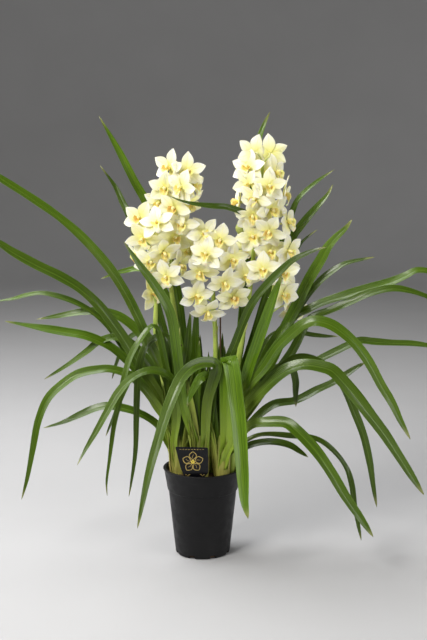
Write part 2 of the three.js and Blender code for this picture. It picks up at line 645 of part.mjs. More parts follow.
// The pedicel to the back of the bloom that stands at place, from a point of the stalk that lies lower
// by drop.
function pedicel(name, place, drop) {
  const list = stalkStations(name);
  const facing = new THREE.Vector3().setFromMatrixColumn(place, 2);
  const back = new THREE.Vector3().setFromMatrixPosition(place).addScaledVector(facing, -BLOOM_BACK - GAP);
  const dense = stations(list.map(({ at }) => at), 6);
  const aim = back.clone().setZ(back.z - drop);
  const near = (a, b) => (b.at.distanceTo(aim) < a.at.distanceTo(aim) ? b : a);
  const from = dense.reduce(near);
  const reach = from.at.distanceTo(back);
  const curve = new THREE.CubicBezierCurve3(
    from.at,
    from.at.clone().lerp(back, 0.3).add(new THREE.Vector3(0, 0, reach * 0.12)),
    back.clone().addScaledVector(facing, -reach * 0.35),
    back,
  );
  const line = [];
  for (let i = 0; i <= PEDICEL_STATIONS; i += 1) {
    const u = i / PEDICEL_STATIONS;
    line.push({ at: curve.getPoint(u), along: curve.getTangent(u), u });
  }
  return rod(line, () => PEDICEL_RADIUS, PEDICEL_SIDES);
}

function bud([stalk, x, z, depth]) {
  const middle = seen(x, z, depth);
  const body = loft(
    BUD_PROFILE.map(([rise, radius]) => {
      const count = radius === 0 ? 1 : BUD_SIDES;
      return Array.from({ length: count }, (_, i) => {
        const angle = (2 * Math.PI * i) / BUD_SIDES;
        const offset = new THREE.Vector3(radius * Math.cos(angle), radius * Math.sin(angle), rise);
        return offset.add(middle);
      });
    }),
  );
  const list = stations(stalkStations(stalk).map(({ at }) => at), 6);
  const from = list.find(({ at }) => at.z > middle.z - PEDICEL_DROPS[0]).at;
  const line = stations([from, from.clone().lerp(middle, 0.5), middle], BUD_STEP);
  return join([body, rod(line, () => PEDICEL_RADIUS, PEDICEL_SIDES)]);
}

function makeBark() {
  const random = stream(7);
  const between = ([low, high]) => low + (high - low) * random();
  const fill = turned([
    [0, POT_FLOOR + GAP],
    [wallRadius(POT_FLOOR) - GAP, POT_FLOOR + GAP],
    [wallRadius(POT_COLLAR_Z) - GAP, POT_COLLAR_Z],
    [wallRadius(SOIL_Z) - GAP, SOIL_Z],
    [0, SOIL_Z + 3],
  ]);
  const chips = [];
  for (let i = 0; i < CHIPS; i += 1) {
    const chip = new THREE.BoxGeometry(between(CHIP_LENGTH), between(CHIP_WIDTH), between(CHIP_THICKNESS));
    const reach = CHIP_REACH * Math.sqrt((i + 0.5) / CHIPS);
    const around = i * Math.PI * (3 - Math.sqrt(5));
    chip.rotateX((random() - 0.5) * CHIP_TILT);
    chip.rotateY((random() - 0.5) * CHIP_TILT);
    chip.rotateZ(random() * Math.PI);
    chip.translate(reach * Math.cos(around), reach * Math.sin(around), SOIL_Z + CHIP_SINK);
    chips.push(solid(chip));
  }
  const holes = Object.values(GROWTHS).map((centre) => bulb(centre, GAP));
  Object.values(STALKS).forEach(([[x, y]]) => {
    const line = [STALK_FOOT_Z - GAP, SOIL_Z + 20].map((z, index) => ({
      at: new THREE.Vector3(x, y, z),
      along: new THREE.Vector3(0, 0, 1),
      u: index,
    }));
    holes.push(rod(line, () => STALK_FOOT_RADIUS + STALK_HOLE, STALK_SIDES));
  });
  holes.push(rod(stickLine(GAP), () => STICK_RADIUS + GAP, STALK_SIDES));
  holes.push(labelBody(GAP));
  return largest(join([fill, ...chips]).subtract(join(holes)));
}

function stickLine(extra) {
  const ends = STICK.map(([x, y, z], index) => new THREE.Vector3(x, y, index ? z : z - extra));
  return stations(ends, (STICK[1][2] - STICK[0][2]) / 3);
}

// The label's card with its pointed foot, spread by extra.
function labelBody(extra) {
  const outline = new THREE.Shape(LABEL_OUTLINE.map(([x, z]) => new THREE.Vector2(x, z)));
  const card = new THREE.ExtrudeGeometry(outline, { depth: LABEL_THICKNESS, bevelEnabled: false });
  card.rotateX(Math.PI / 2);
  card.translate(0, LABEL_Y + LABEL_THICKNESS / 2, 0);
  const made = solid(card);
  if (extra === 0) {
    return made;
  }
  const moves = [
    [extra, 0, 0],
    [-extra, 0, 0],
    [0, extra, 0],
    [0, -extra, 0],
    [0, 0, -extra],
  ];
  return join(moves.map((move) => made.translate(move))).hull();
}

function clip() {
  const list = stalkStations("stalk_top_left");
  const { at: above, along } = list.find(({ at }) => at.z > CLIP_Z);
  const line = [2.5, 1.5].map((share, u) => {
    const at = above.clone().addScaledVector(along, -share * CLIP_HEIGHT);
    return { at, along, u };
  });
  const outer = rod(line, () => STALK_FOOT_RADIUS + CLIP_WALL, 12);
  const hole = rod(list, (u) => stalkRadius(u) + GAP, STALK_SIDES);
  return outer.subtract(hole);
}

// What stands already: its solid, the stalk it belongs to, and its middle where it is a bloom.
const standing = [];

function boxesMeet(a, b) {
  const one = a.boundingBox();
  const two = b.boundingBox();
  return [0, 1, 2].every((i) => one.min[i] < two.max[i] + 1 && two.min[i] < one.max[i] + 1);
}

function apart(a, b) {
  return !boxesMeet(a, b) || a.minGap(b, 1) >= BLOOM_CLEAR;
}

// A bloom may cross blooms of its own stalk, where their middles keep their distance. What crosses is
// joined.
function bloomFits(made, middle, own) {
  return standing.every((other) => {
    if (!other.middle || other.stalk !== own) {
      return apart(made, other.made);
    }
    if (other.middle.distanceTo(middle) < BLOOM_APART) {
      return false;
    }
    return apart(made, other.made) || made.intersect(other.made).volume() > BLOOM_JOINT;
  });
}

function stemFits(made, own) {
  return standing.every((other) => (other.stalk === own && !other.middle) || apart(made, other.made));
}

// The bloom and its pedicel at one place, or nothing where they would touch what stands already.
function tryBloom(bloom, place) {
  const [stalk, , , , , , , form] = bloom;
  const made = FORMS[form].transform(place.elements);
  const middle = new THREE.Vector3().setFromMatrixPosition(place);
  if (!bloomFits(made, middle, stalk)) {
    return null;
  }
  const stems = PEDICEL_DROPS.map((drop) => pedicel(stalk, place, drop));
  const stem = stems.find((line) => stemFits(line, stalk) && line.minGap(made, 1) > GAP / 2);
  return stem ? { made, middle, stem } : null;
}

// The bloom and its pedicel in the first of the allowed places where both fit.
function standBloom(bloom) {
  const [stalk, x, z, depth, right, up, roll] = bloom;
  for (const [stepX, stepZ] of SIDE_STEPS) {
    for (const stepY of DEPTH_STEPS) {
      for (const [turnRight, turnUp] of TURN_STEPS) {
        const moved = [x + stepX, z + stepZ, depth + stepY];
        const place = bloomPlace([stalk, ...moved, right + turnRight, up + turnUp, roll]);
        const stood = tryBloom(bloom, place);
        if (stood) {
          return stood;
        }
      }
    }
  }
  throw new Error("no place for the bloom at " + x + ", " + z);
}

const stick = rod(stickLine(0), () => STICK_RADIUS, STALK_SIDES);
add("pot", makePot(), BLACK);
add("bark", makeBark(), BARK);
add("label", labelBody(0), CARD);
add("stick", stick, WOOD);
standing.push({ made: stick });
Object.keys(GROWTHS).forEach((name) => {
  const made = makeGrowth(name);
  standing.push({ made });
  add(name, made, GREEN);
});
// The solids of each stalk, and of its blooms
const stems = {};
const sprays = {};
Object.keys(STALKS).forEach((name) => {
  const buds = BUDS.filter(([stalk]) => stalk === name).map(bud);
  const stem = join([rod(stalkStations(name), stalkRadius, STALK_SIDES), ...bracts(name), ...buds]);
  stems[name] = [stem];
  sprays[name] = [];
  standing.push({ made: stem, stalk: name });
});
const sway = stream(SWAY_SEED);
BLOOMS.forEach(([stalk, x, z, depth, right, up, roll, form]) => {
  const [swayRight, swayUp, swayRoll] = SWAY.map((most) => most * (2 * sway() - 1));
  const bloom = [stalk, x, z, depth, right + swayRight, up + swayUp, roll + swayRoll, form];
  const { made, middle, stem } = standBloom(bloom);
  stems[stalk].push(stem);
  sprays[stalk].push(made);
  standing.push({ made, stalk, middle }, { made: stem, stalk });
});
Object.keys(STALKS).forEach((name) => {
  add(name, filled(join(stems[name])), STALK_GREEN);
  filled(join(sprays[name])).decompose().forEach((body, index) => {
    add(name.replace("stalk", "blooms") + "_" + (index + 1), body, CREAM);
  });
});
add("clip", clip(), WOOD);

export default orchid;
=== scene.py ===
"""The looks of a potted orchid over its CAD frame: plant, pot, bark, label, stick and clip."""
import itertools
import math
import random

import bpy
import numpy as np
from mathutils import Matrix, Vector


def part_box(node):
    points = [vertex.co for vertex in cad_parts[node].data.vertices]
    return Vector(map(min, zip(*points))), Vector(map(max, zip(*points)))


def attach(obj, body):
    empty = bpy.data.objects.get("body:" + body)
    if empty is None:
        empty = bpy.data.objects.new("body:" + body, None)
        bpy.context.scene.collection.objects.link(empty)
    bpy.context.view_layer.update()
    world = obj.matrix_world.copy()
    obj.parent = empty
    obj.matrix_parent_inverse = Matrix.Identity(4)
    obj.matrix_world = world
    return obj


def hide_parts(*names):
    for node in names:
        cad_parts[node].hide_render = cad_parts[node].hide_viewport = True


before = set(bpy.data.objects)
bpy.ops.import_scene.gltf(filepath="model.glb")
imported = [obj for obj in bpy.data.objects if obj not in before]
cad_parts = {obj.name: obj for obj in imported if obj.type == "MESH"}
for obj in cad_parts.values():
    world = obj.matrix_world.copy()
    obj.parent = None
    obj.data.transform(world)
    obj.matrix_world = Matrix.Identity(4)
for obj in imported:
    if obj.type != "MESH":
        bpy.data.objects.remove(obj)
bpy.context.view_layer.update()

# Sizes are in millimetres, in the row frame: x to the right, y away from the front, z up.
MM = 0.001
ROUND = 2 * math.pi
BLADE_ACROSS = np.array([-1, -0.94, -0.75, -0.5, -0.25, -0.08, 0, 0.08, 0.25, 0.5, 0.75, 0.94, 1])
EYE = np.array([23.5, -2700.0, 978.0])
CAMERA_TILT, CAMERA_LENS, CAMERA_SENSOR, CAMERA_END = 80.18, 72.79, 36, 50

# Pot: [radius, height] from the middle of the underside, out and up, and back down inside
POT_PROFILE = [
    [0, 0.6], [48, 0.6], [50, 0], [55, 0], [58, 1.2], [59, 4], [73.4, 140], [73.9, 141.4], [75.4, 142.2],
    [76.1, 143.6], [82.9, 186], [83.2, 186.5], [84.4, 186.8], [84.9, 187.5], [85, 189.2], [84.4, 189.9],
    [83.5, 190], [79.6, 190], [78.9, 189.6], [72, 145], [71.4, 142], [57.4, 4.6], [56, 3.2], [0, 3],
]
POT_SIDES, POT_SHARP_EDGE = 144, 38
DRAINS = 8
DRAIN_ARCH = [[-7, -3], [7, -3], [7, 4.4], [6.2, 6.2], [4.4, 7], [-4.4, 7], [-6.2, 6.2], [-7, 4.4]]
DRAIN_REACH = [46, 70]

# Bark mix: its fill, and its chips with the ranges of their sizes and turns
SOIL_Z = 174
BARK_FILL = [
    [0, 3.4], [56.6, 3.4], [71, 143], [76.4, 173], *([r, 175.5] for r in range(72, 4, -8)), [0, 176.5],
]
BARK_SIDES, BARK_RISE = 64, 1.2
CHIPS = 150
CHIP_SIZES = [(11, 24), (7, 12), (4, 8)]
CHIP_TURNS = [(-0.35, 0.35), (-0.3, 0.3), (0, 6.3)]
CHIP_RISE = (0.5, 3.5)
CHIP_MIDDLES_REACH, CHIP_ENDS_REACH = 73, 77.5
CHIP_STATIONS = [-1, -0.35, 0.35, 1]
CHIP_SECTION = [[-1, -1], [0, -1.15], [1, -1], [1.1, 0], [1, 1], [0, 1.1], [-1, 1], [-1.1, 0]]
CHIP_TAPER, CHIP_ROUGHNESS = 0.3, 0.16

# Stick and clip
STICK_X, STICK_Y = 38, -4
STICK_ENDS = [110, 575]
STICK_STATIONS, STICK_SIDES = 90, 14
STICK_RADIUS, STICK_UNEVENNESS = 1.85, 0.12
STICK_FOOT_RADIUS, STICK_TOP_RADIUS = 1.2, 1.1
CLIP_SECTION = [[-0.7, -1.9], [0.5, -1.9], [0.8, -1.2], [0.8, 1.2], [0.5, 1.9], [-0.7, 1.9]]
CLIP_STATIONS, CLIP_INSET = 49, 0.9
CLIP_END_RADIUS, CLIP_END_SIDES = 0.9, 10

# Label: the card's outline in x and z, and the inks on it
LABEL_OUTLINE = [[-57, 252], [12, 250], [13, 196], [2, 182], [-10, 173], [-13, 150], [-21, 150], [-25, 173],
    [-37, 184], [-46, 206]]
LABEL_FRONT, LABEL_BACK, LABEL_BEVEL = -66.5, -65.5, 0.2
LABEL_CORNER, LABEL_INNER_SHARE = 4, 0.992
INK_LIFT, INK_SINK = 0.14, 0.05
FLOWER_MIDDLE = np.array([-20.0, 219.0])
PETALS, PETAL_ROOT, PETAL_LENGTH, PETAL_HALF_WIDTH = 5, 5, 17, 7.5
WAVE_Z, WAVE_STARTS, WAVE_LENGTH = 190, (-36, -5), 10
MARK_Z = 245.5
THICK_INK, THIN_INK = 1.4, 0.6
CARD_SLOT, GOLD_SLOT, YELLOW_SLOT = 0, 1, 2

# Growths
BULB_FOOT_Z, BULB_SHOULDER_Z, BULB_HEIGHT = 152, 196, 116
BULB_PROFILE = [[0, 9], [22, 16], [46, 19], [74, 15], [100, 9], [116, 4]]
BULB_STATIONS, BULB_SIDES, BULB_FLATNESS = 30, 48, 0.8
BULB_RIBS, BULB_RIB_DEPTH = 9, 0.035
LEAF_ROOT_RISE, LEAF_FAN, LEAF_STACK = 46, 9, 2.6
LEAF_FOLD, LEAF_THICKNESS, LEAF_FOOT_WIDTH, LEAF_FULLNESS = 0.17, 1.1, 0.62, 9
LEAF_STEP, LEAF_TIP_ROUNDNESS = 7, 0.65
LEAF_SLIMMER_LEFT, LEAF_SLIMMER_RIGHT = 0.4, 0.15
LEAF_TURN, LEAF_TURN_LENGTH, LEAF_WAVE, LEAF_WAVE_LENGTH = 0.09, 260, 0.5, 95
LEAF_BRIGHTNESSES = (0, 0.3)
LEAF_SLOT, BULB_SLOT = 0, 1

# Sheaths round each bulb: height of the tip, distance from the bulb's middle, width, dryness
SHEATHS = [[214, 19.6, 30, 0.9], [238, 19, 30, 0.5], [268, 18, 29, 0.2], [300, 17, 27, 0], [332, 15, 25, 0],
    [366, 12, 22, 0], [404, 8, 20, 0]]
FLAT_SHEATHS, SHEATH_THICKNESS = 5, 1.2

# Young upright leaves at the heart of each growth: how far out, height of the tip, width
YOUNG_LEAVES = [[-16, 415, 16], [-5, 470, 15], [6, 440, 16], [17, 395, 15]]
YOUNG_MIDDLE_Z = 310

# Growths: where each stands in the mix, then its leaves: width, lean of the face, depth at the tip,
# brightness of the green, partly a fresher leaf and partly painted light where a leaf looks lit through
# (None: drawn at random), and the points [x, z] or [x, z, depth] passed from base to tip.
GROWTHS = {
    "growth_front_left": [
        [-52, -14],
        [22, 50, -60, 0.5, [-60, 330], [-124, 485], [-145, 532], [-170, 580], [-200, 626], [-250, 683],
            [-300, 727], [-350, 763], [-430, 815], [-500, 858]],
        [25, 50, -30, None, [-72, 260], [-90, 340], [-120, 390], [-150, 440], [-175, 480], [-200, 515],
            [-225, 545], [-260, 577], [-300, 602], [-350, 627], [-400, 655], [-430, 675], [-500, 705]],
        [21, 45, -75, 0.4, [-90, 310], [-150, 385], [-195, 403], [-225, 402], [-265, 393], [-300, 370],
            [-330, 340], [-352, 290], [-365, 230], [-380, 160], [-393, 115]],
        [15, 60, -120, 0.4, [-60, 280], [-80, 420], [-103, 497], [-130, 470], [-155, 425], [-168, 380],
            [-178, 330], [-190, 280], [-200, 210], [-208, 150], [-207, 124]],
        [20, 50, -150, 0.3, [-55, 300], [-70, 385], [-105, 400], [-130, 395], [-155, 380], [-180, 352],
            [-205, 310], [-230, 265], [-255, 222], [-271, 192]],
        [20, 50, 0, 0.3, [-75, 240], [-95, 278], [-120, 298], [-150, 312], [-180, 320], [-205, 323],
            [-230, 318], [-260, 305], [-300, 287], [-342, 275]],
        [17, 40, -60, None, [-58, 300], [-80, 476], [-115, 460], [-130, 430], [-138, 380], [-142, 300],
            [-145, 220], [-155, 150], [-160, 122]],
    ],
    "growth_back_left": [
        [-36, 40],
        [20, 35, 75, 0.8, [-35, 400], [-60, 600], [-115, 755], [-140, 800], [-175, 870], [-213, 938]],
        [17, 40, 100, None, [-50, 350], [-150, 725], [-165, 757], [-180, 790], [-212, 836]],
        [18, 25, 70, 0.9, [-45, 420], [-75, 560], [-120, 618], [-170, 614], [-190, 608], [-215, 598]],
        [16, 60, 35, 0.5, [-80, 330], [-170, 450], [-200, 495], [-225, 520], [-260, 543], [-300, 559],
            [-340, 567], [-370, 563], [-400, 555], [-430, 550], [-470, 530]],
        [20, 30, 60, 0.6, [-60, 350], [-95, 420], [-130, 478], [-150, 500], [-180, 520], [-215, 528],
            [-250, 528], [-300, 520], [-352, 512]],
        [23, 50, 5, 0.6, [-90, 310], [-140, 400], [-165, 425], [-190, 447], [-215, 462], [-250, 476],
            [-300, 485], [-350, 494], [-400, 504], [-418, 508]],
        [18, 35, 20, 0.4, [-85, 370], [-130, 440], [-160, 465], [-185, 473], [-205, 470], [-225, 460],
            [-240, 447], [-270, 425], [-300, 405], [-338, 382]],
        [18, 50, 90, None, [-70, 350], [-120, 480], [-150, 475], [-178, 430], [-193, 383]],
        [16, 50, 120, None, [-75, 300], [-140, 400], [-165, 360], [-190, 300], [-208, 257]],
    ],
    "growth_front_centre": [
        [-4, -36],
        [25, 35, -230, 0.25, [10, 330], [28, 413], [5, 418], [-20, 410], [-45, 385], [-62, 350], [-80, 300],
            [-95, 250], [-110, 200], [-122, 150], [-132, 100], [-142, 50]],
        [26, 20, -70, 1.0, [12, 300], [15, 385], [0, 388], [-20, 360], [-30, 335], [-33, 322]],
        [21, 30, -90, 0.6, [-40, 320], [-55, 450], [-70, 530], [-105, 590], [-130, 625], [-165, 678]],
        [20, 20, -30, None, [-30, 300], [-38, 400], [-32, 450], [-25, 530]],
    ],
    "growth_front_right": [
        [40, -34],
        [34, 30, -165, 1.0, [52, 300], [57, 426], [64, 398], [70, 350], [76, 300], [80, 250], [84, 200],
            [88, 150], [91, 110], [99, 72]],
        [26, 45, -170, 0.35, [60, 230], [105, 280], [140, 287], [180, 285], [200, 270], [225, 245],
            [250, 215], [280, 170], [310, 120], [345, 70], [372, 30]],
        [15, 60, -60, None, [70, 225], [120, 258], [200, 256], [225, 255], [255, 245], [285, 220],
            [310, 185], [322, 150], [330, 100], [346, 22]],
        [30, 45, -130, 0.25, [80, 300], [140, 370], [170, 395], [195, 408], [220, 412], [250, 408],
            [275, 400], [300, 375], [330, 340], [360, 300], [390, 260], [420, 215], [450, 170], [480, 125]],
        [26, 45, -120, 0.5, [75, 330], [100, 370], [130, 405], [160, 450], [190, 480], [215, 500],
            [240, 507], [270, 500], [300, 480], [330, 450], [355, 415], [380, 370], [405, 330], [425, 290],
            [447, 250]],
        [18, 40, -110, None, [45, 300], [55, 420], [70, 460], [85, 500], [100, 535], [115, 560], [140, 590],
            [165, 615], [190, 637], [215, 650], [240, 660], [262, 666]],
        [24, 35, -85, 0.9, [75, 320], [103, 420], [115, 455], [128, 495], [140, 530], [150, 560],
            [168, 607]],
        [20, 50, -30, None, [90, 320], [160, 400], [195, 425], [220, 428], [245, 420], [275, 400],
            [300, 365], [325, 310], [345, 260], [360, 200], [370, 140], [378, 98]],
    ],
    "growth_back_right": [
        [44, 32],
        [26, 45, 10, 0.6, [80, 280], [120, 370], [150, 430], [175, 490], [195, 530], [215, 575], [230, 605],
            [250, 640], [262, 663], [280, 685], [300, 705], [313, 724]],
        [18, 55, 20, None, [90, 330], [180, 490], [205, 535], [225, 565], [250, 595], [275, 615],
            [300, 630], [340, 640], [362, 645]],
        [22, 50, 0, 0.5, [100, 350], [150, 460], [200, 520], [220, 530], [250, 545], [300, 562], [350, 578],
            [400, 592], [430, 605], [450, 615], [493, 610], [560, 590]],
        [20, 50, -20, None, [95, 300], [140, 370], [190, 440], [230, 512], [270, 530], [310, 548],
            [350, 566], [400, 577], [440, 571], [490, 553], [540, 530]],
        [18, 55, 60, None, [85, 340], [150, 475], [200, 483], [230, 478], [260, 475], [290, 475]],
        [20, 55, 90, None, [100, 320], [150, 380], [250, 425], [280, 440], [310, 455], [335, 465],
            [360, 463], [400, 460], [450, 458], [490, 452], [560, 435]],
        [20, 50, 130, None, [90, 270], [150, 325], [200, 335], [245, 358], [280, 375], [335, 412],
            [345, 418]],
        [20, 50, 60, None, [90, 300], [150, 400], [185, 410], [198, 380], [199, 350], [200, 322]],
        [18, 50, -10, None, [70, 215], [100, 235], [130, 243], [160, 243], [190, 235], [210, 222],
            [228, 210]],
    ],
    "growth_back_centre": [
        [2, 42],
        [20, 20, 50, 0.5, [75, 350, 60], [140, 560, 62], [190, 688, 60], [204, 708], [222, 731],
            [243, 755], [261, 776], [272, 797]],
        [15, 40, 90, 0.5, [75, 380, 68], [145, 600, 76], [190, 745, 84], [204, 771], [238, 802],
            [275, 828]],
        [14, 55, 30, None, [85, 350, 54], [120, 480, 52], [205, 670, 40], [225, 690], [240, 702]],
        [20, 35, 80, 0.7, [60, 350], [100, 700], [118, 890], [130, 925], [140, 946]],
        [15, 18, -60, None, [60, 350, 44], [98, 600, 52], [108, 690, 48], [109, 722, 20], [86, 738, -36],
            [50, 750, -60], [20, 752, -70], [-20, 757, -70], [-50, 765, -65], [-72, 775, -60]],
        [18, 30, 30, 0.5, [-12, 300], [-15, 460], [-10, 560]],
    ],
}

# Flower stalks, from foot to top: [x, y] in the mix, then the points [x, z, depth] passed.
STALKS = {
    "stalk_left": [[-64, 14], [-80, 370, 2], [-98, 450, -8], [-98, 540, -8], [-102, 620, -6], [-112, 675, -4],
        [-121, 703, 0]],
    "stalk_top_left": [[-26, 2], [-45, 400, 4], [-55, 500, 8], [-68, 600, 10], [-64, 700, 6], [-56, 780, 0],
        [-50, 812, 0]],
    "stalk_centre": [[20, -4], [28, 450, 4], [22, 590, 4], [25, 690, 0]],
    "stalk_top_right": [[63, -7], [75, 420, -8], [95, 530, -2], [110, 680, 4], [122, 790, 6], [126, 838, 6]],
    "stalk_right": [[64.5, 9], [76, 300, 5], [108, 420, 6], [138, 520, 2], [152, 590, 0], [156, 640, 0]],
}
STALK_FOOT_Z, STALK_NECK_Z = 154, 186
STALK_FOOT_RADIUS, STALK_TOP_RADIUS, STALK_SIDES = 6.4, 3.3, 18
STALK_STEP, STALK_FINE_STEP = 70, 6
BRACT_LENGTH, BRACT_WIDTH = 46, 15
BRACT_SIDE = np.array([1, -0.6, 0])
PEDICEL_DROPS, PEDICEL_RADIUS = [22, 8, 36, 50], 1.9
PEDICEL_STATIONS, PEDICEL_SIDES = 22, 10
GAP = 0.3
BUD_STALK, BUD_PLACE = "stalk_top_right", [78, 704, 0]
BUD_PROFILE = [[-12, 1.8], [-9, 4.6], [-4, 7.9], [2, 8.9], [7, 7.4], [11, 4.6], [15, 0.4]]
BUD_STATIONS, BUD_SIDES = 20, 30

# How many blooms stand on each stalk.
BLOOM_COUNTS = {
    "stalk_top_left": 10, "stalk_left": 11, "stalk_centre": 13, "stalk_top_right": 15, "stalk_right": 7,
}
BLOOM_BACK = 9

# Tepals: angle from straight up, length, width, how far in front of the middle each begins, bow, tip bow of
# the first form, and its change in the second.
TEPALS = [[0, 40, 25, 0, 2, 5, -5], [2.2, 39, 24, 0, 1, -4, 4], [-2.15, 38, 25, 0, 1, -4, 3],
    [1.22, 39, 22, 2.4, 3, 5, -3], [-1.25, 38, 23, 2.4, 3, 4, -4]]
TEPAL_ROOT, TEPAL_CUP, TEPAL_THICKNESS, TEPAL_STATIONS = 2, 0.02, 1.3, 17
# [share of the length, share of the width]: of the solids in the CAD frame, and of the fine tepals
TEPAL_SHAPE = [[0.42, 1], [0.8, 0.74]]
TEPAL_WIDTHS = [[0, 0.18], [0.08, 0.34], [0.2, 0.64], [0.32, 0.88], [0.42, 0.99], [0.5, 1], [0.6, 0.95],
    [0.7, 0.82], [0.8, 0.62], [0.88, 0.41], [0.95, 0.2], [1, 0.03]]
LIP_LINE = [[0, -1.5, 2], [0, -5.5, 7], [0, -10, 11.6], [0, -15.5, 13.4], [0, -20.5, 11.6], [0, -23.4, 7.6]]
LIP_CURL = [0, 0, 0, 0, 1, 1.6]
LIP_WIDTHS = [[0, 6], [0.1, 14], [0.25, 19], [0.4, 18], [0.52, 12], [0.6, 11], [0.72, 15], [0.85, 15.5],
    [0.94, 11], [1, 4]]
LIP_FOLDS = [[0, 0.5], [0.25, 0.62], [0.42, 0.5], [0.56, 0.1], [0.75, -0.12], [1, -0.2]]
COLUMN_LINE = [[0, 0, -1], [0, 1.2, 4], [0, 2.6, 9], [0, 2.3, 13], [0, 1.0, 14.6]]
COLUMN_RADII = [[0, 3.6], [0.3, 2.9], [0.7, 3.1], [0.9, 3.3], [1, 2.6]]
WARMTHS = [0, 0.1, 0.15, 0.25, 0.5, 0.9]
TEPAL_SLOT, LIP_SLOT, COLUMN_SLOT, OVARY_SLOT = 0, 1, 2, 3

# How the blooms are found in the frame: how near two distances and two points must be, and how many points
MATCH_DISTANCE, MATCH_POINT, MARKS_MET = 0.02, 0.06, 14


def seen(x, z, y):
    """The point that lies at x, z against the pot's middle plane for the eye, moved to the depth y."""
    scale = (y - EYE[1]) / -EYE[1]
    return np.array([EYE[0] + (x - EYE[0]) * scale, y, EYE[2] + (z - EYE[2]) * scale])


def unit(vectors):
    return vectors / np.linalg.norm(vectors, axis=-1, keepdims=True)


def circle(count):
    return np.linspace(0, ROUND, count, endpoint=False)


def between(value, pairs):
    """The value looked up in [from, to] pairs."""
    return np.interp(value, *zip(*pairs))


def passed_at(points):
    return np.r_[0, np.cumsum(np.linalg.norm(np.diff(points, axis=0), axis=1))]


class Line:
    """Stations along a line: points, directions, the length, and its share passed at each."""

    def __init__(self, at, share, length):
        self.at, self.share, self.length = np.array(at, float), share, length
        self.along = unit(np.gradient(self.at, axis=0))


def straight_line(points):
    """A line whose stations are the points given."""
    passed = passed_at(np.array(points, float))
    return Line(points, passed / passed[-1], passed[-1])


def smooth_line(points, step):
    """Even stations along a smooth curve through the points."""
    points = np.array(points, float)
    ends = np.vstack([2 * points[0] - points[1], points, 2 * points[-1] - points[-2]])
    t = np.linspace(0, 1, 32, endpoint=False)[:, None]
    dense = []
    for a, b, c, d in zip(ends, ends[1:], ends[2:], ends[3:]):
        before, own, after = (math.sqrt(np.linalg.norm(q - p)) for p, q in ((a, b), (b, c), (c, d)))
        start = ((b - a) / before - (c - a) / (before + own) + (c - b) / own) * own
        end = ((c - b) / own - (d - b) / (own + after) + (d - c) / after) * own
        square = 3 * (c - b) - 2 * start - end
        cube = 2 * (b - c) + start + end
        dense.append(b + start * t + square * t**2 + cube * t**3)
    dense = np.vstack(dense + [points[-1:]])
    passed = passed_at(dense)
    length = passed[-1]
    share = np.linspace(0, 1, max(2, round(length / step)) + 1)
    at = np.stack([np.interp(share * length, passed, dense[:, k]) for k in range(3)], axis=1)
    return Line(at, share, length)


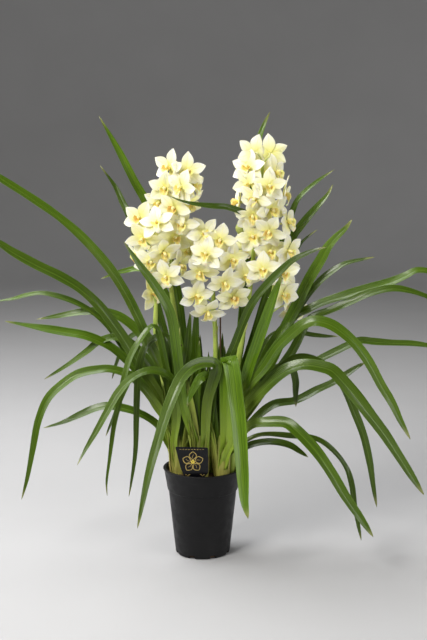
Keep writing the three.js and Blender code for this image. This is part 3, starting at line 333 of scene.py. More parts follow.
class Shape:
    """Vertices, faces and the values at each vertex, gathered into one piece."""

    VALUES = ("along", "across", "tone", "warm")

    def __init__(self):
        self.vertices, self.faces, self.slots, self.count = [], [], [], 0
        self.values = {name: [] for name in self.VALUES}

    def add(self, vertices, faces, slot=0, **values):
        vertices = np.asarray(vertices, float).reshape(-1, 3)
        self.vertices.append(vertices)
        self.faces += [[self.count + i for i in face] for face in faces]
        self.slots += [slot] * len(faces)
        self.count += len(vertices)
        for name in self.VALUES:
            self.values[name].append(np.broadcast_to(values.get(name, 0.0), len(vertices)))

    def loft(self, rings, slot=0, capped=True, **values):
        """A skin through closed rings of points, all of the same count."""
        rings = np.asarray(rings, float)
        rows, count = rings.shape[:2]
        faces = []
        for r in range(rows - 1):
            for i in range(count):
                j = (i + 1) % count
                faces.append([r * count + i, r * count + j, (r + 1) * count + j, (r + 1) * count + i])
        if capped:
            faces.append(list(range(count))[::-1])
            faces.append([(rows - 1) * count + i for i in range(count)])
        grid = {k: np.broadcast_to(v, (rows, count)).reshape(-1) for k, v in values.items()}
        self.add(rings, faces, slot, **grid)

    def rod(self, line, radii, sides, slot=0, **values):
        """A round rod along a line, kept from twisting."""
        values.setdefault("along", line.share[:, None])
        side = np.array([1.0, 0.0, 0.0])
        angles = circle(sides)
        rings = []
        for point, forward, radius in zip(line.at, line.along, np.broadcast_to(radii, len(line.at))):
            side = unit(side - forward * side.dot(forward))
            other = np.cross(forward, side)
            rings.append(point + radius * (np.outer(np.cos(angles), side) + np.outer(np.sin(angles), other)))
        self.loft(rings, slot, **values)

    def blade(self, line, face, width, fold, thickness, turn=0.0, wave=0.0, power=1.4, slot=0, **values):
        """A folded blade along a line, with width, fold and turn at each station or the same all along."""
        across = unit(np.cross(line.along, face))
        up = np.cross(across, line.along)
        given = (turn, np.divide(width, 2), fold)
        turn, half, fold = (np.broadcast_to(value, len(line.share))[:, None] for value in given)
        across, up = across * np.cos(turn) + up * np.sin(turn), up * np.cos(turn) - across * np.sin(turn)
        rise = 2 * half * fold * np.abs(BLADE_ACROSS) ** power
        rise = rise + np.broadcast_to(wave, (len(line.share), 1)) * BLADE_ACROSS * np.abs(BLADE_ACROSS)
        thick = thickness * (1 - 0.72 * BLADE_ACROSS**2) * np.minimum(1, half / (3 * thickness)) / 2
        base = line.at[:, None] + across[:, None] * (half * BLADE_ACROSS)[..., None]
        upper = base + up[:, None] * (rise + thick)[..., None]
        lower = base + up[:, None] * (rise - thick)[..., None]
        rings = np.concatenate([upper, lower[:, ::-1]], axis=1)
        ring_across = np.concatenate([BLADE_ACROSS, BLADE_ACROSS[::-1]])
        self.loft(rings, slot, along=line.share[:, None], across=ring_across[None, :], **values)

    def take(self, other, turn, move):
        """Adds all of another shape, turned and moved."""
        self.vertices += [part @ turn.T + move for part in other.vertices]
        self.faces += [[self.count + i for i in face] for face in other.faces]
        self.slots += other.slots
        self.count += other.count
        for name in self.VALUES:
            self.values[name] += other.values[name]

    def linked(self, name):
        """A plain object of the shape, in the scene."""
        mesh = bpy.data.meshes.new(name)
        mesh.from_pydata((np.vstack(self.vertices) * MM).tolist(), [], self.faces)
        made = bpy.data.objects.new(name, mesh)
        bpy.context.collection.objects.link(made)
        return made

    def build(self, name, materials, slot, *nodes, smooth=True):
        """The finished piece, standing for the CAD nodes given."""
        piece = self.linked(name)
        mesh = piece.data
        mesh.polygons.foreach_set("use_smooth", [smooth] * len(mesh.polygons))
        mesh.polygons.foreach_set("material_index", self.slots)
        for key, parts in self.values.items():
            values = np.concatenate(parts).astype(np.float32)
            mesh.attributes.new(key, "FLOAT", "POINT").data.foreach_set("value", values)
        for material in materials:
            mesh.materials.append(material)
        mesh.update()
        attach(piece, "root")
        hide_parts(*nodes)
        return piece


# Materials


class Paint:
    """A material built up node by node."""

    def __init__(self, name, **sockets):
        self.material = bpy.data.materials.new(name)
        self.material.use_nodes = True
        self.tree = self.material.node_tree
        self.shader = next(n for n in self.tree.nodes if n.type == "BSDF_PRINCIPLED")
        for socket, value in sockets.items():
            self.set(self.shader, socket.replace("_", " "), value)

    def set(self, node, socket, value):
        target = node.inputs[socket]
        if isinstance(value, bpy.types.NodeSocket):
            self.tree.links.new(value, target)
        elif isinstance(value, (tuple, list)) and len(value) == 3 and target.type == "RGBA":
            target.default_value = (*value, 1.0)
        else:
            target.default_value = value

    def node(self, kind, inputs, output=0, **settings):
        """One output of a new node with these settings and inputs."""
        node = self.tree.nodes.new("ShaderNode" + kind)
        for key, value in settings.items():
            setattr(node, key, value)
        for socket, value in inputs.items():
            self.set(node, socket, value)
        return node.outputs[output]

    def value(self, name):
        return self.node("Attribute", {}, "Fac", attribute_name=name)

    def place(self):
        return self.node("TexCoord", {}, "Object")

    def maths(self, operation, a, b=0.0):
        return self.node("Math", {0: a, 1: b}, operation=operation)

    def times(self, a, b):
        return self.maths("MULTIPLY", a, b)

    def plus(self, a, b):
        return self.maths("ADD", a, b)

    def size_of(self, value):
        return self.maths("ABSOLUTE", value)

    def spread(self, value, low, high, to_low=0.0, to_high=1.0):
        """The value's run from low to high, made a smooth one from to_low to to_high."""
        inputs = {"Value": value, "From Min": low, "From Max": high, "To Min": to_low, "To Max": to_high}
        return self.node("MapRange", inputs, interpolation_type="SMOOTHSTEP")

    def mix(self, share, a, b):
        return self.node("Mix", {0: share, 6: a, 7: b}, 2, data_type="RGBA")

    def layers(self, under, *rows):
        """Colours laid over one another, each with the spread of a value as its share."""
        for colour, *spread in rows:
            under = self.mix(self.spread(*spread), under, colour)
        return under

    def noise(self, scale, detail=3.0, vector=None):
        vector = self.place() if vector is None else vector
        return self.node("TexNoise", {"Vector": vector, "Scale": scale, "Detail": detail})

    def grain(self, scales, detail=5.0):
        """Noise with its own scale along each axis."""
        return self.noise(1.0, detail, self.node("Mapping", {"Vector": self.place(), "Scale": scales}))

    def streaks(self, along, across, tone=0.0, detail=3.0):
        """Noise with its own scale along a blade, across it, and from blade to blade."""
        scales = {"along": along, "across": across, "tone": tone}
        parts = [self.times(self.value(name), scale) for name, scale in scales.items()]
        return self.noise(1.0, detail, self.node("CombineXYZ", dict(zip("XYZ", parts))))

    def bump(self, height, distance, strength):
        normal = self.node("Bump", {"Height": height, "Distance": distance, "Strength": strength})
        self.set(self.shader, "Normal", normal)

    def colour(self, value):
        self.set(self.shader, "Base Color", value)

    def rough(self, value, low, high, smoothest, roughest):
        self.set(self.shader, "Roughness", self.spread(value, low, high, smoothest, roughest))


def leaf_paint():
    """Dark glossy green, lighter on some leaves (partly fresher leaves, partly painted light on leaves that
    look lit through), with fine lines along the blade, a pale midrib and foot.
    """
    paint = Paint("leaf", Specular_IOR_Level=0.34, Specular_Tint=(0.85, 1.0, 0.5), Coat_Weight=0.38,
        Coat_Roughness=0.2)
    along, across = paint.value("along"), paint.value("across")
    off = paint.size_of(across)
    streaks = paint.streaks(4.0, 7.0, 37.0, detail=4.0)
    lines = paint.maths("SINE", paint.times(across, 30.0))
    dark = paint.layers((0.009, 0.022, 0.0006), ((0.028, 0.060, 0.0012), streaks, 0.34, 0.66))
    bright = paint.layers((0.046, 0.112, 0.002), ((0.115, 0.220, 0.004), streaks, 0.34, 0.66))
    clouds = (0.050, 0.092, 0.003), paint.noise(9.0, 2.0), 0.4, 0.7, 0.0, 0.4
    pale_lines = (0.095, 0.165, 0.006), lines, 0.3, 1.0, 0.0, 0.4
    midrib = (0.12, 0.21, 0.02), off, 0.02, 0.12, 0.5, 0.0
    edge = (0.10, 0.19, 0.02), off, 0.86, 1.0, 0.0, 0.4
    foot = (0.24, 0.34, 0.035), along, 0.03, 0.36, 1.0, 0.0
    tip = (0.36, 0.36, 0.13), along, 0.95, 1.0, 0.0, 0.75
    # dark or bright green per leaf by its brightness value: partly fresher leaves, partly painted light on
    # leaves that look lit through
    green = paint.mix(paint.value("warm"), dark, bright)
    paint.colour(paint.layers(green, clouds, pale_lines, midrib, edge, foot, tip))
    paint.rough(streaks, 0.2, 0.8, 0.3, 0.46)
    groove = paint.spread(off, 0.0, 0.07, -1.6, 0.0)
    height = paint.plus(paint.times(lines, 0.5), paint.times(streaks, 0.8))
    paint.bump(paint.plus(height, groove), 0.0004, 0.9)
    return paint.material


def bulb_paint():
    """Bulbs and the sheaths round them: pale below, greener above, ribbed, with papery brown where dry."""
    paint = Paint("bulb", Specular_IOR_Level=0.45)
    ribs = paint.streaks(2.0, 16.0, 41.0)
    green = (0.20, 0.30, 0.028), paint.value("along"), 0.1, 0.9
    shade = (0.2604, 0.2542, 0.0558), ribs, 0.35, 0.7, 0.0, 0.5
    colour = paint.layers((0.42, 0.41, 0.09), green, shade)
    dry = paint.times(paint.value("warm"), paint.spread(ribs, 0.25, 0.6, 0.55, 1.0))
    colour = paint.mix(dry, colour, (0.27, 0.18, 0.06))
    paint.colour(paint.layers(colour, ((0.20, 0.13, 0.05), paint.noise(120.0, 4.0), 0.62, 0.74, 0.0, 0.5)))
    paint.rough(ribs, 0.2, 0.8, 0.42, 0.62)
    paint.bump(ribs, 0.0009, 0.7)
    return paint.material


def stalk_paint():
    """Yellow-green stems, paler towards the blooms, with dusky blotches, and papery bracts."""
    paint = Paint("stalk", Roughness=0.42, Specular_IOR_Level=0.5)
    blotches = (0.41, 0.50, 0.085), paint.noise(38.0), 0.35, 0.7
    pale = (0.62, 0.60, 0.28), paint.value("warm"), 0.0, 1.0
    dusk = (0.22, 0.13, 0.06), paint.noise(90.0, 2.0), 0.6, 0.75, 0.0, 0.35
    colour = paint.layers((0.27, 0.39, 0.045), blotches, pale, dusk)
    paint.colour(paint.mix(paint.times(paint.value("tone"), 0.85), colour, (0.50, 0.44, 0.20)))
    paint.bump(paint.streaks(4.0, 14.0), 0.0004, 0.6)
    return paint.material


def tepal_paint():
    """Cream with pale tips, a yellow-green flush at the foot, veins and a faint midrib."""
    paint = Paint("tepal", Roughness=0.52, Specular_IOR_Level=0.24, Subsurface_Weight=0.45,
        Subsurface_Radius=(1.0, 0.85, 0.35), Subsurface_Scale=0.007, Sheen_Weight=0.08)
    along, tone, warm = (paint.value(n) for n in ("along", "tone", "warm"))
    off = paint.size_of(paint.value("across"))
    veins = paint.streaks(2.2, 7.5, 29.0)
    cream = paint.layers((0.90, 0.86, 0.50), ((0.93, 0.895, 0.64), paint.noise(45.0, 2.0), 0.35, 0.7))
    pale = paint.plus(paint.times(tone, 0.3), paint.spread(along, 0.35, 0.95, 0.0, 0.7))
    cream = paint.mix(pale, cream, (0.97, 0.95, 0.79))
    flush = paint.plus(paint.spread(along, 0.0, 0.6, 0.75, 0.0), paint.times(warm, 0.2))
    cream = paint.mix(flush, cream, (0.86, 0.82, 0.22))
    vein_tint = (0.92, 0.87, 0.44), veins, 0.5, 0.75, 0.0, 0.25
    midrib = (0.88, 0.83, 0.36), off, 0.0, 0.13, 0.4, 0.0
    paint.colour(paint.layers(cream, vein_tint, midrib))
    crease = paint.spread(off, 0.0, 0.12, -1.2, 0.0)
    paint.bump(paint.plus(veins, crease), 0.0005, 0.6)
    return paint.material


def lip_paint():
    """Cream with a warm mottled throat, yellow keels, spotted side lobes and a blush near the tip."""
    paint = Paint("lip", Roughness=0.5, Specular_IOR_Level=0.35, Subsurface_Weight=0.25,
        Subsurface_Scale=0.004)
    along, across, warm = (paint.value(n) for n in ("along", "across", "warm"))
    off = paint.size_of(across)
    mottle = paint.noise(260.0)
    colour = paint.layers((0.90, 0.81, 0.36), ((0.96, 0.92, 0.66), along, 0.3, 0.8))
    throat = paint.times(paint.spread(along, 0.6, 0.2, 0.0, 0.9), paint.spread(mottle, 0.2, 0.6, 0.6, 1.0))
    warmth = paint.mix(warm, (0.84, 0.71, 0.20), (0.66, 0.45, 0.09))
    keels = paint.times(paint.spread(off, 0.16, 0.30, 1.0, 0.0), paint.spread(along, 0.75, 0.55, 0.0, 0.7))
    rim = paint.times(paint.spread(off, 0.55, 0.95), paint.spread(along, 0.55, 0.2, 0.0, 1.0))
    spots = paint.times(paint.spread(mottle, 0.5, 0.62), paint.times(rim, warm))
    from_blush = paint.size_of(paint.maths("SUBTRACT", along, 0.82))
    blush = paint.times(paint.spread(from_blush, 0.04, 0.13, 1.0, 0.0), paint.spread(mottle, 0.52, 0.64))
    for share, tint in (
        (throat, warmth),
        (keels, (0.90, 0.76, 0.22)),
        (spots, (0.45, 0.21, 0.05)),
        (paint.times(blush, paint.times(warm, 0.7)), (0.62, 0.38, 0.10)),
    ):
        colour = paint.mix(share, colour, tint)
    paint.colour(colour)
    paint.bump(mottle, 0.0004, 0.5)
    return paint.material


def column_paint():
    """Yellow, with brown-red streaks on the warm blooms."""
    paint = Paint("column", Roughness=0.55, Specular_IOR_Level=0.25, Subsurface_Weight=0.15,
        Subsurface_Scale=0.003)
    colour = paint.layers((0.80, 0.70, 0.22), ((0.84, 0.75, 0.34), paint.value("along"), 0.2, 1.0))
    streak = paint.spread(paint.noise(190.0), 0.5, 0.75, 0.0, 0.5)
    paint.colour(paint.mix(paint.times(streak, paint.value("warm")), colour, (0.62, 0.30, 0.07)))
    paint.bump(paint.noise(300.0, 2.0), 0.0002, 0.5)
    return paint.material


def pot_paint():
    """Black moulded plastic with a little dust, scuffs round it and a fine grain."""
    paint = Paint("pot_plastic", Specular_IOR_Level=0.24)
    dust = (0.0115, 0.0113, 0.0116), paint.noise(9.0, 5.0), 0.45, 0.8
    scuffs = (0.045, 0.044, 0.044), paint.grain((30.0, 30.0, 420.0), 6.0), 0.62, 0.8, 0.0, 0.25
    paint.colour(paint.layers((0.0060, 0.0060, 0.0066), dust, scuffs))
    paint.rough(paint.noise(60.0, 4.0), 0.3, 0.7, 0.44, 0.6)
    paint.bump(paint.noise(900.0, 2.0), 0.00012, 0.7)
    return paint.material


def bark_paint():
    """Brown bark, lighter on some chips, with a grain along each."""
    paint = Paint("bark", Specular_IOR_Level=0.25)
    grain = paint.grain((90.0, 260.0, 260.0))
    colour = paint.layers((0.016, 0.010, 0.006), ((0.075, 0.042, 0.021), grain, 0.3, 0.7))
    colour = paint.mix(paint.times(paint.value("tone"), 0.6), colour, (0.21, 0.130, 0.070))
    paint.colour(paint.layers(colour, ((0.05, 0.033, 0.02), paint.noise(25.0), 0.5, 0.7, 0.0, 0.5)))
    paint.rough(grain, 0.2, 0.8, 0.75, 0.95)
    paint.bump(grain, 0.0016, 0.9)
    return paint.material


def wood_paint():
    paint = Paint("stick_wood", Specular_IOR_Level=0.3)
    grain = paint.grain((900.0, 900.0, 26.0))
    paint.colour(paint.layers((0.030, 0.014, 0.008), ((0.098, 0.050, 0.028), grain, 0.3, 0.7)))
    paint.rough(grain, 0.2, 0.8, 0.5, 0.8)
    paint.bump(grain, 0.0004, 0.8)
    return paint.material


def card_paint():
    """Black coated card."""
    paint = Paint("label_card", Specular_IOR_Level=0.22, Coat_Weight=0.12, Coat_Roughness=0.12)
    sheen = (0.0045, 0.0045, 0.0065), paint.noise(20.0), 0.3, 0.7
    paint.colour(paint.layers((0.0020, 0.0020, 0.0030), sheen))
    paint.rough(paint.noise(70.0, 4.0), 0.3, 0.7, 0.26, 0.38)
    paint.bump(paint.noise(500.0, 2.0), 0.00005, 0.5)
    return paint.material


def ink_paint(name, dark, light):
    paint = Paint(name, Specular_IOR_Level=0.4)
    grain = paint.noise(420.0)
    paint.colour(paint.layers(dark, (light, grain, 0.35, 0.65)))
    paint.rough(grain, 0.3, 0.7, 0.35, 0.55)
    return paint.material


LEAF, BULB, STALK = leaf_paint(), bulb_paint(), stalk_paint()
TEPAL, LIP, COLUMN = tepal_paint(), lip_paint(), column_paint()
POT, BARK, WOOD, CARD = pot_paint(), bark_paint(), wood_paint(), card_paint()
GOLD = ink_paint("label_gold", (0.42, 0.30, 0.075), (0.62, 0.47, 0.15))
YELLOW = ink_paint("label_yellow", (0.80, 0.60, 0.05), (0.92, 0.76, 0.12))


# Pot, bark, stick, clip and label


def lathe(shape, profile, sides, lift=None):
    """Turns [radius, height] pairs about the pot's axis; the first and last lie on the axis."""
    inner = profile[1:-1]
    points = [[0, 0, profile[0][1]]]
    for radius, z in inner:
        for angle in circle(sides):
            top = z + lift(radius, z, angle) if lift else z
            points.append([radius * math.cos(angle), radius * math.sin(angle), top])
    points.append([0, 0, profile[-1][1]])
    faces = []
    last = len(points) - 1
    rim = 1 + (len(inner) - 1) * sides
    for i in range(sides):
        j = (i + 1) % sides
        faces.append([0, 1 + j, 1 + i])
        for r in range(len(inner) - 1):
            low, high = 1 + r * sides, 1 + (r + 1) * sides
            faces.append([low + i, low + j, high + j, high + i])
        faces.append([rim + i, rim + j, last])
    shape.add(points, faces)


def drain_cutters():
    """The openings in the pot's foot, as one object to cut with."""
    cutters = Shape()
    for i in range(DRAINS):
        angle = ROUND * (i + 0.5) / DRAINS
        out = np.array([math.cos(angle), math.sin(angle), 0])
        side = np.array([-math.sin(angle), math.cos(angle), 0])
        rings = [[out * reach + side * a + [0, 0, b] for a, b in DRAIN_ARCH] for reach in DRAIN_REACH]
        cutters.loft(rings)
    return cutters.linked("cutters")


def make_pot():
    shape = Shape()
    lathe(shape, POT_PROFILE, POT_SIDES)
    pot = shape.build("pot_wall", [POT], "pot_plastic", "pot")
    tool = drain_cutters()
    cut = pot.modifiers.new("drains", "BOOLEAN")
    cut.operation, cut.object, cut.solver = "DIFFERENCE", tool, "EXACT"
    graph = bpy.context.evaluated_depsgraph_get()
    finished = bpy.data.meshes.new_from_object(pot.evaluated_get(graph))
    pot.modifiers.clear()
    pot.data = finished
    bpy.data.objects.remove(tool)
    pot.data.set_sharp_from_angle(angle=math.radians(POT_SHARP_EDGE))


def bark_lift(radius, z, angle):
    """The uneven top of the mix."""
    if z <= SOIL_Z:
        return 0.0
    return BARK_RISE * math.sin(3 * angle + radius) * math.cos(5 * angle - radius)


def chip_points(rng, size):
    """A split chunk of bark: a rough box with its corners pulled about."""
    corners = []
    for along, (across, up) in itertools.product(CHIP_STATIONS, CHIP_SECTION):
        taper = 1 - CHIP_TAPER * abs(along) ** 3
        pull = [rng.uniform(-CHIP_ROUGHNESS, CHIP_ROUGHNESS) for _ in range(3)]
        corners.append(np.array([along, across * taper, up * taper]) + pull)
    return np.array(corners).reshape(len(CHIP_STATIONS), len(CHIP_SECTION), 3) * size / 2


def turn_matrix(x, y, z):
    return np.array((Matrix.Rotation(z, 3, "Z") @ Matrix.Rotation(y, 3, "Y") @ Matrix.Rotation(x, 3, "X")))


def make_bark():
    rng = random.Random(5)
    shape = Shape()
    lathe(shape, BARK_FILL, BARK_SIDES, bark_lift)
    for i in range(CHIPS):
        size = [rng.uniform(*span) for span in CHIP_SIZES]
        points = chip_points(rng, size)
        turn = turn_matrix(*(rng.uniform(*span) for span in CHIP_TURNS))
        reach = min(CHIP_MIDDLES_REACH * math.sqrt((i + 0.5) / CHIPS), CHIP_ENDS_REACH - size[0] / 2)
        around = i * math.pi * (3 - math.sqrt(5))
        height = SOIL_Z + rng.uniform(*CHIP_RISE)
        centre = np.array([reach * math.cos(around), reach * math.sin(around), height])
        shape.loft(points @ turn.T + centre, tone=rng.random())
    shape.build("bark_mix", [BARK], "bark_mix", "bark", smooth=False)


def make_stick():
    shape = Shape()
    rng = random.Random(3)
    low, high = STICK_ENDS
    heights = np.r_[low, np.linspace(low + 2, high - 2, STICK_STATIONS), high]
    uneven = [STICK_RADIUS + rng.uniform(-STICK_UNEVENNESS, STICK_UNEVENNESS) for _ in heights[1:-1]]
    line = straight_line([[STICK_X, STICK_Y, z] for z in heights])
    shape.rod(line, [STICK_FOOT_RADIUS, *uneven, STICK_TOP_RADIUS], STICK_SIDES)
    shape.build("stick_rod", [WOOD], "stick_wood", "stick")


def make_clip():
    """A ring round the stalk, with two short ends in front."""
    low, high = (np.array(corner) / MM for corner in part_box("clip"))
    middle, radius = (low + high) / 2, (high[0] - low[0]) / 2
    shape = Shape()
    rings = []
    for angle in np.linspace(0, ROUND, CLIP_STATIONS):
        out = np.array([math.cos(angle), math.sin(angle), 0])
        rings.append([middle + out * (radius - CLIP_INSET + r) + [0, 0, z] for r, z in CLIP_SECTION])
    shape.loft(rings, capped=False)
    for side in (-1, 1):
        points = [[side * 1.4, 1 - radius, 0], [side * 1.9, -radius - 1.5, 0], [side * 3, -radius - 4, 0.4]]
        shape.rod(smooth_line(middle + points, 0.8), CLIP_END_RADIUS, CLIP_END_SIDES)
    shape.build("clip_band", [WOOD], "clip_plastic", "clip")


def rounded(outline, radius, steps=5):
    """The outline with its corners rounded."""
    points = np.array(outline, float)
    result = []
    for before, corner, after in zip(np.roll(points, 1, axis=0), points, np.roll(points, -1, axis=0)):
        from_before, from_after = before - corner, after - corner
        reach = min(radius, np.linalg.norm(from_before) / 2.2, np.linalg.norm(from_after) / 2.2)
        start = corner + reach * unit(from_before)
        end = corner + reach * unit(from_after)
        for t in np.linspace(0, 1, steps):
            result.append((1 - t) ** 2 * start + 2 * t * (1 - t) * corner + t**2 * end)
    return np.array(result)


def ribbon(shape, points, width, slot, closed=False):
    """A thin line of ink on the label's front, through [x, z] points."""
    points = np.array(points, float)
    if closed:
        points = np.vstack([points, points[:1]])
    across = np.gradient(points, axis=0)
    if closed:
        across[0] = across[-1] = points[1] - points[-2]
    across = unit(np.stack([-across[:, 1], across[:, 0]], axis=1)) * width / 2
    front, back = LABEL_FRONT - INK_LIFT, LABEL_FRONT + INK_SINK
    rings = [[[x, y, z] for (x, z), y in zip([p + a, p - a, p - a, p + a], [front, front, back, back])]
        for p, a in zip(points, across)]
    shape.loft(rings, slot)


def draw_flower(shape):
    """Five outlined petals with a vein each round a yellow middle."""
    for k in range(PETALS):
        angle = math.pi / 2 + ROUND * k / PETALS
        out = np.array([math.cos(angle), math.sin(angle)])
        side = np.array([-math.sin(angle), math.cos(angle)])
        petal = []
        for half_width, ends in ((PETAL_HALF_WIDTH, (0, 1)), (-PETAL_HALF_WIDTH, (1, 0))):
            for t in np.linspace(*ends, 15):
                reach = FLOWER_MIDDLE + out * (PETAL_ROOT + PETAL_LENGTH * t)
                petal.append(reach + side * half_width * math.sin(math.pi * t) ** 0.8)
        vein = [FLOWER_MIDDLE + out * (8 + 8 * t) + side * math.sin(5 * t) for t in np.linspace(0, 1, 8)]
        ribbon(shape, petal, THICK_INK, GOLD_SLOT)
        ribbon(shape, vein, THIN_INK, GOLD_SLOT)
    middle = [FLOWER_MIDDLE + 2.6 * np.array([math.cos(a), math.sin(a)]) for a in circle(24)]
    ribbon(shape, middle, 2.6, YELLOW_SLOT, closed=True)


def make_label():
    shape = Shape()
    outline = rounded(LABEL_OUTLINE, LABEL_CORNER)
    centre = outline.mean(axis=0)
    inner = centre + (outline - centre) * LABEL_INNER_SHARE
    sides = ((inner, LABEL_BACK), (outline, LABEL_BACK - LABEL_BEVEL), (outline, LABEL_FRONT + LABEL_BEVEL),
        (inner, LABEL_FRONT))
    shape.loft([[[x, y, z] for x, z in line] for line, y in sides], CARD_SLOT)
    draw_flower(shape)
    for start in WAVE_STARTS:
        stations = np.linspace(start, start + WAVE_LENGTH, 20)
        wave = [[x, WAVE_Z + 1.6 * math.sin((x - start) * 0.9)] for x in stations]
        ribbon(shape, wave, THIN_INK, GOLD_SLOT)
    for x in range(-46, 7, 6):
        ribbon(shape, [[x - 1.6, MARK_Z], [x, MARK_Z + 0.9], [x + 1.6, MARK_Z]], 0.8, GOLD_SLOT)
    shape.build("label_card", [CARD, GOLD, YELLOW], "label_card", "label", smooth=False)


# Growths


def leaf_line(x, y, depth, points):
    side = math.copysign(LEAF_FAN, points[0][0] - x)
    root = [x + 0.4 * side, y, BULB_FOOT_Z + LEAF_ROOT_RISE]
    neck = [x + side, y, BULB_FOOT_Z + 2 * LEAF_ROOT_RISE]
    path = []
    for index, (px, pz, *given) in enumerate(points):
        share = (index + 1) / len(points)
        path.append(seen(px, pz, given[0] if given else y + (depth - y) * share**1.2))
    if path[0][2] > neck[2] + LEAF_ROOT_RISE / 2:
        path.insert(0, neck)
    return smooth_line([root, *path], LEAF_STEP)


def leaf_widths(line, width):
    """The width at each station, slimmer at the foot and towards a hanging tip."""
    u = line.share
    foot = LEAF_FOOT_WIDTH + (1 - LEAF_FOOT_WIDTH) * np.minimum(1, u / 0.35)
    hang = line.at[:, 2].max() - line.at[-1, 2]
    most = LEAF_SLIMMER_LEFT if line.at[-1, 0] < 0 else LEAF_SLIMMER_RIGHT
    slimmer = most * np.exp(-(((1 - u) * line.length / (60 + hang / 2)) ** 2))
    tip = np.clip(1 - u**LEAF_FULLNESS, 0, 1) ** LEAF_TIP_ROUNDNESS
    return np.maximum(width * foot * tip * (1 - slimmer), 0.5)


def make_leaf(shape, x, y, leaf, rng):
    width, lean, depth, brightness, *points = leaf
    drawn = rng.uniform(*LEAF_BRIGHTNESSES)
    line = leaf_line(x, y, depth, points)
    u = line.share
    angle = math.radians(lean)
    face = np.array([0, -math.cos(angle), math.sin(angle)])
    fold = LEAF_FOLD + 0.3 * np.exp(-((u / 0.14) ** 2))
    phase = rng.uniform(0, 6.3)
    passed = ROUND * u * line.length
    turn = LEAF_TURN * np.sin(passed / LEAF_TURN_LENGTH + phase) * np.minimum(1, u * 4)
    wave = LEAF_WAVE * np.sin(passed / LEAF_WAVE_LENGTH + phase)[:, None]
    shape.blade(line, face, leaf_widths(line, width), fold, LEAF_THICKNESS, turn, wave, slot=LEAF_SLOT,
        tone=rng.random(), warm=drawn if brightness is None else brightness)


def make_bulb(shape, x, y, rng):
    heights = np.linspace(0, BULB_HEIGHT, BULB_STATIONS)
    radii = np.convolve(np.pad(between(heights, BULB_PROFILE), 2, mode="edge"), np.ones(5) / 5, mode="valid")
    angles = circle(BULB_SIDES)
    ribs = 1 + BULB_RIB_DEPTH * np.cos(BULB_RIBS * angles + rng.uniform(0, 6))
    rings = [[[x + r * k * math.cos(a), y + BULB_FLATNESS * r * k * math.sin(a), BULB_FOOT_Z + h]
        for a, k in zip(angles, ribs)] for h, r in zip(heights, radii)]
    shape.loft(rings, BULB_SLOT, along=(heights / BULB_HEIGHT)[:, None], across=angles / math.pi - 1,
        tone=rng.random(), warm=0.25)


def make_sheaths(shape, x, y, rng):
    """The leaf bases that wrap the bulb, low dry ones outside and tall green ones within."""
    for (k, (top, out, width, dry)), side in itertools.product(enumerate(SHEATHS), (-1, 1)):
        lean = rng.uniform(-3, 3)
        reach = out - 1.2 * (side > 0)
        low = [x + side * (reach - 6), y, SOIL_Z - 6]
        middle = [x + side * reach, y + lean * 0.5, BULB_SHOULDER_Z]
        upper = [x + side * (reach + k * 1.5), y + lean, (top + BULB_SHOULDER_Z) / 2 + 6]
        end = [x + side * (reach + 1 + k * 4), y + lean * 1.5, top + rng.uniform(-8, 8)]
        line = smooth_line([low, middle, upper, end], 5)
        u = line.share
        widths = np.maximum(width * (1 - 0.35 * u) * np.clip(1 - u**5, 0, 1) ** 0.6, 0.6)
        face = np.array([-side, 0.05 if k < FLAT_SHEATHS else 1.6 * side, 0])
        shape.blade(line, face, widths, 0.46 - 0.12 * u, SHEATH_THICKNESS, power=1.8, slot=BULB_SLOT,
            tone=rng.random(), warm=dry * (0.6 + 0.4 * u)[:, None])


def make_young_leaves(shape, x, y, rng):
    for out, top, width in YOUNG_LEAVES:
        depth = rng.uniform(-10, 10)
        root = [x + out * 0.3, y, BULB_FOOT_Z + LEAF_ROOT_RISE]
        middle = [x + out, y + depth * 0.5, YOUNG_MIDDLE_Z]
        tip = [x + out * 1.9 + rng.uniform(-8, 8), y + depth * 1.5, top + rng.uniform(-25, 25)]
        line = smooth_line([root, middle, tip], 6)
        u = line.share
        widths = np.maximum(width * (0.75 + 0.25 * np.sin(math.pi * u)) * np.clip(1 - u**5, 0, 1) ** 0.6, 0.5)
        angle = rng.uniform(-0.5, 0.5)
        face = np.array([math.sin(angle), -math.cos(angle), 0.1])
        tone, warm = rng.random(), rng.uniform(0.05, 0.5)
        turn = 0.15 * np.sin(3 * u + rng.uniform(0, 6))
        shape.blade(line, face, widths, 0.24, LEAF_THICKNESS, turn, slot=LEAF_SLOT, tone=tone, warm=warm)


def make_growth(name, seed):
    rng = random.Random(seed)
    shape = Shape()
    (x, y), *leaves = GROWTHS[name]
    leaves.sort(key=lambda leaf: leaf[2])
    for index, leaf in enumerate(leaves):
        make_leaf(shape, x, y + (index - (len(leaves) - 1) / 2) * LEAF_STACK, leaf, rng)
    make_bulb(shape, x, y, rng)
    make_sheaths(shape, x, y, rng)
    make_young_leaves(shape, x, y, rng)
    shape.build(name + "_leaves", [LEAF, BULB], "leaf", name)


# Blooms: their own frame has x to the right, y up and z to the front.


def tepal_marks(form):
    """The tips of a CAD bloom's tepals, then the corners of their edges."""
    tips, corners = [], []
    for angle, length, width, root, bow, tip_bow, change in TEPALS:
        out = np.array([math.sin(angle), math.cos(angle), 0])
        tip = tip_bow + change * form
        tips.append(out * length + [0, 0, root + bow + tip])
        for u, share in TEPAL_SHAPE:
            at = out * (TEPAL_ROOT + u * (length - TEPAL_ROOT)) + [0, 0, root + bow * u + tip * u**2]
            along = unit(out * length + [0, 0, bow + 2 * tip * u])
            across = unit(np.cross(along, [0, 0, 1]))
            rise = np.cross(across, along) * width * share * TEPAL_CUP
            corners += [at + across * width * share / 2 + rise, at - across * width * share / 2 + rise]
    return np.array(tips), np.array(tips + corners)


def turned_onto(points, targets):
    """The turn and move that bring points onto targets best."""
    a, b = points.mean(axis=0), targets.mean(axis=0)
    u, _, v = np.linalg.svd((points - a).T @ (targets - b))
    turn = v.T @ np.diag([1, 1, np.sign(np.linalg.det(v.T @ u.T))]) @ u.T
    return turn, b - turn @ a


